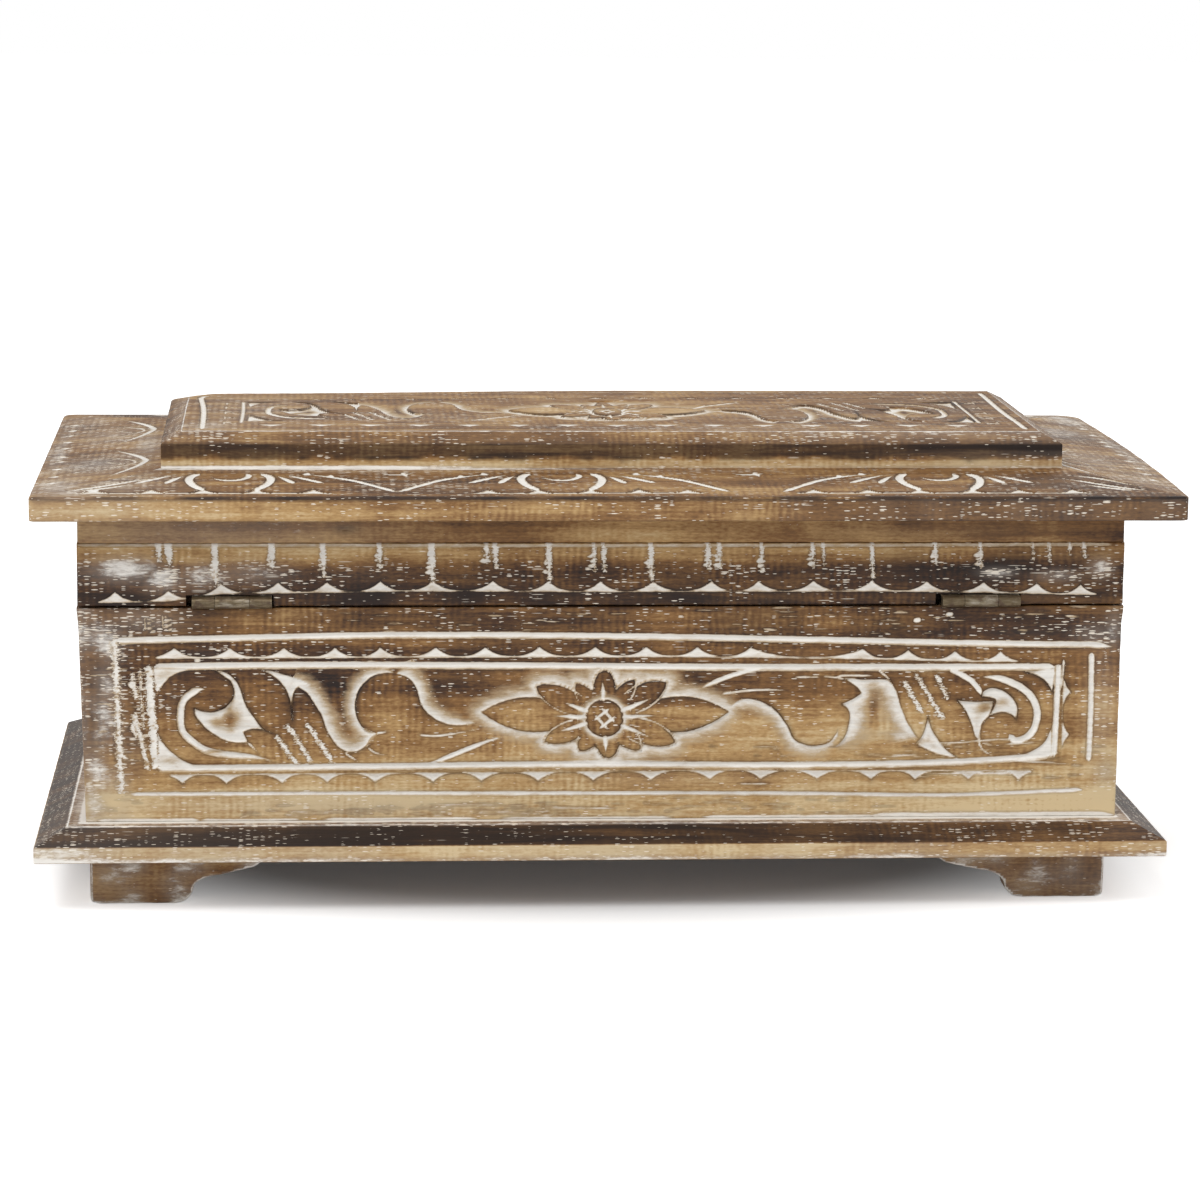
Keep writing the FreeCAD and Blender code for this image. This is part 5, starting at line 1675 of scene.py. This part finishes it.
carves = (carve_rim, carve_rim)
seeds = (500, 540, 580, 620)
cutouts = hinge_notches()
four_boards("carved_rim_", "rim_", RIM_STEP, carves, CARVED_WOODS, seeds, "lid", "carved_wood", 0.0, cutouts)

# %% [markdown]
# ### The plain strips
# Between the rim and the lid board lie four plain strips. They are smooth, duller and greener
# than the carved boards, with a trace of paint and one small crack near the photograph's left.
# Along their tops, where the lid board overhangs them, a painted shadow darkens them.

# %% Make the four strips
STRIP_STEP = 0.9
STRIP_WOODS = [
    wood("packing_wood_long", "X", 0.06, 0.30, 0.2), wood("packing_wood_short", "Y", 0.06, 0.30, 0.2),
]


def carve_strip(work):
    """A plain strip with dull patches, one crack and a painted shadow along its top."""
    half = work.half
    work.tone += 0.02 + 0.12 * np.sin(work.a / 61.0) + 0.05 * np.sin(work.a / 17.0)
    # Painted shadow: the top of the strip, under the lid board's overhang, is darkened through the scorch
    # channel.
    work.burn(0.55 * ease((work.b - 6.6) / 2.4))
    work.tone += 0.10 * ease((-work.a - 40) / 80) - 0.08 * ease((work.a - 20) / 90)
    work.patch(-half + 40, 4, 70, 9, 0.0, 0.0, 0.34)
    work.patch(half - 60, 4, 60, 5, -0.05, 0.25, 0.12)
    crack = -half + 84
    gouge(work, [(crack - 7, 5.6), (crack, 4.6), (crack + 9, 5.0)], 0.9, 0.7, (0.5, 0.5), 0.0, 1.0)


carves = (carve_strip, carve_strip)
seeds = (700, 720, 740, 760)
four_boards("packing_strip_", "strip_", STRIP_STEP, carves, STRIP_WOODS, seeds, "lid", "plain_wood")

# %% [markdown]
# ### The lid board
# The lid board's top slopes up on all four sides to the outline of the raised panel. One grid
# covers it, and each point belongs to the slope whose plane is lowest there, which makes the
# hips at the corners by itself. The middle, under the panel, needs no grid. The board was cut by
# hand: its corners are rounded off, each its own way, and one end bows out a little.

# %% Carve the lid board
LID_STEP_LONG = 0.62
LID_STEP_DEEP = 0.80
HOLE_MARGIN = 2.0
FACE_SLACK = 0.02
LID_BOW = 2.2
# The rows of points down the lid board's edge, as shares of its height
LID_ROWS = (0.08, 0.22, 0.45, 0.7, 0.88, 0.97, 1.0)
# Each corner is its side along x and along y, 0 low and 1 high, and its radius
LID_CORNERS = ((1, 0, 4.5), (0, 0, 9.0), (1, 1, 1.8), (0, 1, 2.0))


def face_top(low, high, step_x, step_y):
    """The grid over a level rectangle, as two arrays."""
    return np.meshgrid(grid_lines(low.x, high.x, step_x), grid_lines(low.y, high.y, step_y))


def top_of(node):
    """A board's box, the box of its level top and the height where its sides begin."""
    low, high = (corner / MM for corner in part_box(node))
    places = [v.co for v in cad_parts[node].data.vertices]
    top = [place / MM for place in places if place.z / MM > high.z - FACE_SLACK]
    top_low = Vector((min(v.x for v in top), min(v.y for v in top), high.z))
    top_high = Vector((max(v.x for v in top), max(v.y for v in top), high.z))
    shoulder = max(place.z / MM for place in places if place.x / MM > high.x - FACE_SLACK)
    return low, high, top_low, top_high, shoulder


def rounded(x, y, corner_x, corner_y, radius):
    """Points of a board whose corner was rounded off: the corner's square becomes a quarter disc."""
    way_x = math.copysign(1, corner_x)
    way_y = math.copysign(1, corner_y)
    p = np.maximum(way_x * (x - corner_x) + radius, 0)
    q = np.maximum(way_y * (y - corner_y) + radius, 0)
    pull = np.maximum(p, q) / np.maximum(np.hypot(p, q), 1e-9)
    inside = (p > 0) & (q > 0)
    new_x = np.where(inside, x - way_x * p * (1 - pull), x)
    new_y = np.where(inside, y - way_y * q * (1 - pull), y)
    return new_x, new_y


def carved_lid():
    """The lid board with its four carved slopes."""
    low, high, _, _, shoulder = top_of("lid_board")
    panel_low, panel_high = (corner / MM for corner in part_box("raised_panel"))
    x, y = face_top(low, high, LID_STEP_LONG, LID_STEP_DEEP)
    shares = np.stack([
        (high.y - y) / (high.y - panel_high.y),
        (y - low.y) / (panel_low.y - low.y),
        (x - low.x) / (panel_low.x - low.x),
        (high.x - x) / (high.x - panel_high.x),
    ])
    owner = shares.argmin(axis=0)
    rise = unit(shares.min(axis=0))
    depth = np.zeros(x.shape)
    paint = np.zeros((*x.shape, WEAR_LAYERS))
    ways = ((-x, high.y - y), (x, y - low.y), (-y, x - low.x), (y, high.x - x))
    for number, (a, b) in enumerate(ways):
        mine = owner == number
        work = Carving(a[mine], b[mine], 820 + number)
        carve = carve_long_slope if number < 2 else carve_end_slope
        carve(work)
        hip = np.abs(np.partition(shares, 1, axis=0)[1] - rise)[mine]
        fade_in = ease(hip / 0.05 - 0.1)
        depth[mine] = work.depth * fade_in
        work.paint[:] = work.paint * (0.3 + 0.7 * fade_in)
        paint[mine] = work.wear(840 + number)
    depth = hand_planed(depth, x, y, 860)
    edge = np.minimum(np.minimum(x - low.x, high.x - x), np.minimum(y - low.y, high.y - y))
    depth = depth + arris_drop(edge, ARRIS * (1 + 0.3 * wander(x + y, 27.0, 861)))
    z = shoulder + (high.z - shoulder) * rise - depth
    flank = unit((panel_low.x - x) / (panel_low.x - low.x))
    end_bow = LID_BOW * flank * (1 - (y / high.y) ** 2)
    bent_x = x
    bent_y = y
    for side_x, side_y, radius in LID_CORNERS:
        corner = ((low.x, high.x)[side_x], (low.y, high.y)[side_y])
        bent_x, bent_y = rounded(bent_x, bent_y, *corner, radius)
    points = np.stack([bent_x - end_bow, bent_y, z], axis=-1) * MM
    margin = Vector((HOLE_MARGIN, HOLE_MARGIN, 0))
    hole = hole_between(x, y, panel_low + margin, panel_high - margin)
    loop = border_ring(x)
    ring = points.reshape(-1, 3)[loop]
    x = ring[:, 0] / MM
    y = ring[:, 1] / MM
    run = x + y
    rows = []
    soft = 0.35 * (1 + 0.5 * wander(run, 19.0, 862))
    for share in LID_ROWS:
        row = ring.copy()
        row[:, 2] = (shoulder - share * (shoulder - low.z)) * MM
        pull = (soft if share == 1.0 else 0.06 * wander(run, 9.0, 863)) * MM
        row[:, 0] -= np.sign(x) * pull * (np.abs(x) > high.x - 1)
        row[:, 1] -= np.sign(y) * pull * (np.abs(y) > high.y - 1)
        to_right = ease(-x / 140)
        film = 0.06 + 0.08 * to_right + 0.06 * np.abs(wander(run, 47.0, 865))
        film += 0.18 * ease((x - 110) / 60) * ease(y)
        scorch = 0.75 * ease((0.18 - share) / 0.12) + 0.3 * ease((share - 0.9) / 0.1) + 0.22 * to_right
        tone = 0.54 + 0.10 * math.sin(math.pi * share) + 0.05 * wander(run, 61.0, 864)
        tone += 0.12 * ease(x / 120) - 0.22 * to_right
        rows.append((row, flat_paint(len(ring), film, scorch, tone)))
    below = ring.copy()
    below[:, 2] = low.z * MM
    below[:, :2] *= 0.985
    rows.append((below, flat_paint(len(ring), 0.0, 0.1, 0.45)))
    mesh = close_sheet("carved_lid_board", points, paint, rows, hole)
    print(mesh.name, len(mesh.polygons), "faces")
    return mesh


add_piece(carved_lid(), long_wood, "lid", "carved_wood", "lid_board")

# %% [markdown]
# ### The raised panel
# A flat top with a bevel round it and a square edge below. The bevel is orange-brown. The edge
# is burnt black along its upper half and golden below, with paint in its pores and in the joint.
# The far corner on the photograph's left is worn round, and the far edge sags a little there.

# %% Carve the raised panel
PANEL_STEP_LONG = 0.62
PANEL_STEP_DEEP = 0.70
PANEL_CORNER = 14.0
PANEL_SAG = 1.2
# The rows of points on the bevel, as shares of its width and its fall, and down the edge
PANEL_BEVEL_ROWS = ((0.04, 0.01), (0.12, 0.09), (0.35, 0.32), (0.65, 0.64), (0.93, 0.91))
PANEL_EDGE_ROWS = (0.02, 0.1, 0.22, 0.34, 0.46, 0.58, 0.72, 0.86, 0.95, 1.0)


def carved_top():
    """The raised panel: a carved top, its bevel and its edge."""
    low, high, top_low, top_high, shoulder = top_of("raised_panel")
    x, y = face_top(top_low, top_high, PANEL_STEP_LONG, PANEL_STEP_DEEP)
    middle = (low.x + high.x) / 2
    work = Carving(-(x - middle), -y, half=(top_high.y - top_low.y) / 2)
    carve_panel(work)
    paint = work.wear(901).reshape(*x.shape, WEAR_LAYERS)
    depth = hand_planed(work.depth.reshape(x.shape), x, y, 902)
    sag = PANEL_SAG * ease(-y / 55) * ease((x + 20) / 150)
    bent_x, bent_y = rounded(x, y, top_high.x, top_low.y, PANEL_CORNER)
    points = np.stack([bent_x, bent_y, high.z - depth - sag], axis=-1) * MM
    loop = border_ring(x)
    ring = np.stack([x, y, high.z - sag], axis=-1).reshape(-1, 3)[loop]
    share_x = (ring[:, 0] - middle) / (top_high.x - middle)
    share_y = ring[:, 1] / top_high.y
    run = ring[:, 0] + ring[:, 1]
    rows = []

    def row_at(out, z, film, scorch, tone, wobble=0.05):
        """One row of the bevel or the edge. out runs from 0 at the top's arris to 1 at the side."""
        row = np.empty_like(ring)
        sway = wobble * wander(run, 21.0, 903)
        row[:, 0] = middle + share_x * ((top_high.x - middle) + out * (high.x - top_high.x)) - sway * share_x
        row[:, 1] = share_y * (top_high.y + out * (high.y - top_high.y)) - sway * share_y
        hang = max((z - shoulder) / (high.z - shoulder), 0)
        row[:, 2] = z + wobble * wander(run, 13.0, 904) - (high.z - ring[:, 2]) * hang
        corner_x = top_high.x + out * (high.x - top_high.x)
        corner_y = top_low.y + out * (low.y - top_low.y)
        corner_radius = PANEL_CORNER * (1 - 0.35 * out)
        row[:, 0], row[:, 1] = rounded(row[:, 0], row[:, 1], corner_x, corner_y, corner_radius)
        rows.append((row * MM, flat_paint(len(ring), film, unit(scorch), tone)))

    streak = wander(run, 37.0, 905)
    left = ease((-ring[:, 0] - 60) / 80)
    grey = 0.26 * ease((-ring[:, 0] - 20) / 50) + 0.20 * ease((ring[:, 0] - 110) / 30)
    for out, fall in PANEL_BEVEL_ROWS:
        white = 0.62 if out == 0.04 else 0.12 + grey * (1 - out)
        brown = 0.52 - 0.1 * out + 0.06 * streak
        row_at(out, high.z - fall * (high.z - shoulder), white, 0.1 + 0.3 * out ** 3, brown)
    drop = shoulder - low.z
    burn = 0.66 + 0.10 * streak + 0.06 * wander(run, 11.0, 906)
    for share in PANEL_EDGE_ROWS:
        black = ease((burn - share) / 0.20 + 0.2)
        joint = ease((share - 0.84) / 0.1)
        gold = 0.46 + 0.46 * ease((share - 0.5) / 0.3) + 0.06 * streak
        white = 0.06 + joint * (0.24 + 0.5 * ease((ring[:, 0] - 20) / 60)) + 0.14 * left * (share > 0.3)
        row_at(1.0, shoulder - share * drop, white, 0.97 * black * ease((share + 0.03) / 0.06), gold, 0.04)
    mesh = close_sheet("carved_raised_panel", points, paint, rows)
    print(mesh.name, len(mesh.polygons), "faces")
    return mesh


add_piece(carved_top(), long_wood, "lid", "carved_wood", "raised_panel")

# %% [markdown]
# ### The base board
# The base board has a level ledge round the case, a bevel that is scorched almost black, and a
# pale square edge. Paint lies thick in the corner where the case meets the ledge.

# %% Make the base board
BASE_STEP = 1.3
LEDGE_ROOM = 6.0
# The rows of points on the bevel, as shares of its width, and down the edge
BASE_BEVEL_ROWS = (0.03, 0.12, 0.3, 0.5, 0.7, 0.86, 0.95)
BASE_EDGE_ROWS = (0.04, 0.14, 0.35, 0.6, 0.85, 0.95)


def moulded_base():
    """The base board: ledge, bevel and edge, with nothing fine under the case."""
    low, high, _, ledge, shoulder = top_of("base_board")
    middle = (low.x + high.x) / 2
    in_x = ledge.x - middle
    in_y = ledge.y
    out_x = high.x - middle
    out_y = high.y
    x, y = np.meshgrid(grid_lines(-in_x, in_x, BASE_STEP), grid_lines(-in_y, in_y, BASE_STEP))
    away = np.minimum(in_x - np.abs(x), in_y - np.abs(y))
    points = np.stack([x + middle, y, np.full(x.shape, high.z)], axis=-1) * MM
    paint = np.zeros((*x.shape, WEAR_LAYERS))
    paint[..., 0] = 0.40 + 0.55 * ease((away - 2.2) / 2.0)
    paint[..., 2] = 0.45
    loop = border_ring(x)
    share_x = x.ravel()[loop] / in_x
    share_y = y.ravel()[loop] / in_y
    run = share_x * in_x + share_y * in_y
    wide = share_x * in_x
    rows = []

    def row_at(out, z, film, scorch, tone, wobble=0.08):
        """One row of the bevel or the edge. out runs from 0 at the ledge to 1 at the edge."""
        sway = wobble * wander(run, 24.0, 950) + 0.5 * wobble * wander(run, 7.0, 951)
        row = np.empty((len(loop), 3))
        row[:, 0] = middle + share_x * (in_x + out * (out_x - in_x) - np.abs(sway))
        row[:, 1] = share_y * (in_y + out * (out_y - in_y) - np.abs(sway))
        row[:, 2] = z
        rows.append((row * MM, flat_paint(len(loop), film, scorch, tone)))

    back = (share_y > 0.999) * 1.0
    corner_wash = 0.20 * ease((wide * back - 60) / 120) + 0.30 * (1 - back) * (np.abs(share_x) > 0.99)
    fall = high.z - shoulder
    for out in BASE_BEVEL_ROWS:
        dark = 0.97 - 0.62 * ease((-wide * back - 20) / 130) + 0.1 * wander(run, 55.0, 952)
        white = 0.05 + corner_wash * 0.7 + (0.50 if out == 0.03 else 0.0)
        row_at(out, high.z - fall * out, white, unit(dark * ease(out * 9)), 0.30)
    pale = 0.92 - 0.16 * ease(-wide * back / 140)
    for share in BASE_EDGE_ROWS:
        white = 0.20 + 0.10 * wander(run, 90.0, 953) + 0.24 * ease((wide * back - 60) / 120)
        white = white + 0.22 * (share > 0.6)
        row_at(1.0, shoulder - share * (shoulder - low.z), white, 0.0, pale - 0.1 * (share > 0.7))
    row_at(0.97, low.z, 0.1, 0.2, 0.5)
    row_at(0.3, low.z, 0.0, 0.2, 0.42)
    inner = (in_x - LEDGE_ROOM, in_y - LEDGE_ROOM)
    hole = hole_between(x, y, (-inner[0], -inner[1]), inner)
    mesh = close_sheet("moulded_base_board", points, paint, rows, hole)
    print(mesh.name, len(mesh.polygons), "faces")
    return mesh


add_piece(moulded_base(), long_wood, "case", "carved_wood", "base_board")

# %% [markdown]
# ### The feet
# Each corner stands on two mitred brackets, sawn by hand. Their arrises are worn round and rubbed
# pale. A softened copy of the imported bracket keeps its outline: a voxel remesh gives it an even
# skin, a light smoothing rounds the arrises, and small noise makes the faces uneven.

# %% Soften the foot brackets
FOOT_VOXEL = 0.8 * MM
FOOT_SMOOTHING = 4


def softened(node, name, voxel, rounds, seed):
    """A copy of a node's mesh with an even skin and rounded arrises."""
    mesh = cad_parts[node].data.copy()
    mesh.name = name
    mesh.materials.clear()
    rough = new_object(name + "_rough", mesh)
    skin = rough.modifiers.new("skin", "REMESH")
    skin.mode = "VOXEL"
    skin.voxel_size = voxel
    soft = rough.modifiers.new("soft", "SMOOTH")
    soft.factor = 0.5
    soft.iterations = rounds
    ready = rough.evaluated_get(bpy.context.evaluated_depsgraph_get())
    result = bpy.data.meshes.new_from_object(ready)
    result.name = name
    bpy.data.objects.remove(rough)
    count = len(result.vertices)
    place = np.empty(count * 3)
    normal = np.empty(count * 3)
    result.vertices.foreach_get("co", place)
    result.vertices.foreach_get("normal", normal)
    place = place.reshape(-1, 3)
    normal = normal.reshape(-1, 3)
    flat_run = (place[:, 0] + place[:, 1]) / MM
    bumps = 0.05 * mottle(flat_run, place[:, 2] / MM, 9.0, seed)
    place = place + normal * (bumps * MM)[:, None]
    result.vertices.foreach_set("co", place.ravel())
    arris = 1 - np.abs(normal).max(axis=1)
    return result, place, normal, ease(arris / 0.18)


FOOT_WOODS = {
    "face": wood("bracket_wood_long", "X", 0.10, 0.45, 0.3),
    "side": wood("bracket_wood_short", "Y", 0.10, 0.45, 0.3),
}
seed = 1000
for depth_side in ("front", "back"):
    for hand in ("left", "right"):
        for part in ("face", "side"):
            node = "_".join(("foot", depth_side, hand, part))
            mesh, place, normal, arris = softened(node, "worn_" + node, FOOT_VOXEL, FOOT_SMOOTHING, seed)
            height = place[:, 2] / MM
            cloud = mottle((place[:, 0] + place[:, 1]) / MM, height, 14.0, seed + 1)
            film = np.clip(0.30 + 0.40 * arris + 0.14 * cloud, 0, 0.8)
            # The brackets are made darker over their top 3 mm, just under the base board.
            scorch = unit(0.06 + 0.45 * ease((height - 14.5) / 3) - 0.3 * arris + 0.10 * cloud)
            paint_mesh(mesh, flat_paint(len(place), film, scorch, 0.56 + 0.06 * cloud))
            mesh.shade_smooth()
            add_piece(mesh, FOOT_WOODS[part], "case", "carved_wood", node)
            seed += 7
print("eight brackets, last with", len(mesh.polygons), "faces")

# %% [markdown]
# ### Hinges, pins, screws and nails
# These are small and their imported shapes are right, so they stay and only get a finish: dull
# yellowish iron with brown bloom, paint smeared over the barrels, and darker fixings.

# %% Finish the metal parts
METAL_DULL = colour(98, 84, 63)
METAL_BRIGHT = colour(152, 138, 112)
METAL_RUST = colour(74, 52, 36)
METAL_SMEAR = colour(190, 182, 166)
BLOOMS_PER_M = 420.0
SCRATCHES_PER_M = 2400.0


def old_metal(name, brightness, smear, rough):
    """Dull metal with brown bloom and a smear of paint."""
    material = new_material(name)
    tree = material.node_tree
    place = add_node(tree, "TexCoord", "Object")
    bloom = add_noise(tree, place, BLOOMS_PER_M, 4.0, 0.6)
    scratches = add_noise(tree, add_stretch(tree, place, 0.15), SCRATCHES_PER_M, 3.0, 0.6)
    white = add_group(tree, rubbed, Vector=place, Amount=smear)["Mask"]
    metal = add_mix(tree, add_range(tree, scratches, 0.35, 0.7, 0.0, brightness), METAL_DULL, METAL_BRIGHT)
    rusty = add_range(tree, bloom, 0.48, 0.66, 0.0, 0.85)
    body = add_mix(tree, white, add_mix(tree, rusty, metal, METAL_RUST), METAL_SMEAR)
    dull = add_math(tree, "MAXIMUM", rusty, white)
    shine = add_math(tree, "MULTIPLY_ADD", dull, -0.7, 0.75, clamp=True)
    gloss = add_parts(tree, rough, (dull, 0.25))
    height = add_math(tree, "ADD", bloom, scratches)
    add_surface(tree, height, 0.3, 0.1 * MM, Base_Color=body, Metallic=shine, Roughness=gloss)
    return material


case_hinge = old_metal("hinge_iron", 0.5, 0.30, 0.42)
lid_hinge = old_metal("hinge_iron_lid", 0.7, 0.42, 0.40)
fixing_metal = old_metal("fixing_iron", 0.3, 0.12, 0.5)
for name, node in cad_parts.items():
    if node.hide_render:
        continue
    finish = fixing_metal
    if name.endswith("case_leaf"):
        finish = case_hinge
    if name.endswith("lid_leaf"):
        finish = lid_hinge
    node.data.materials.clear()
    node.data.materials.append(finish)
    print("CAD node kept:", name)
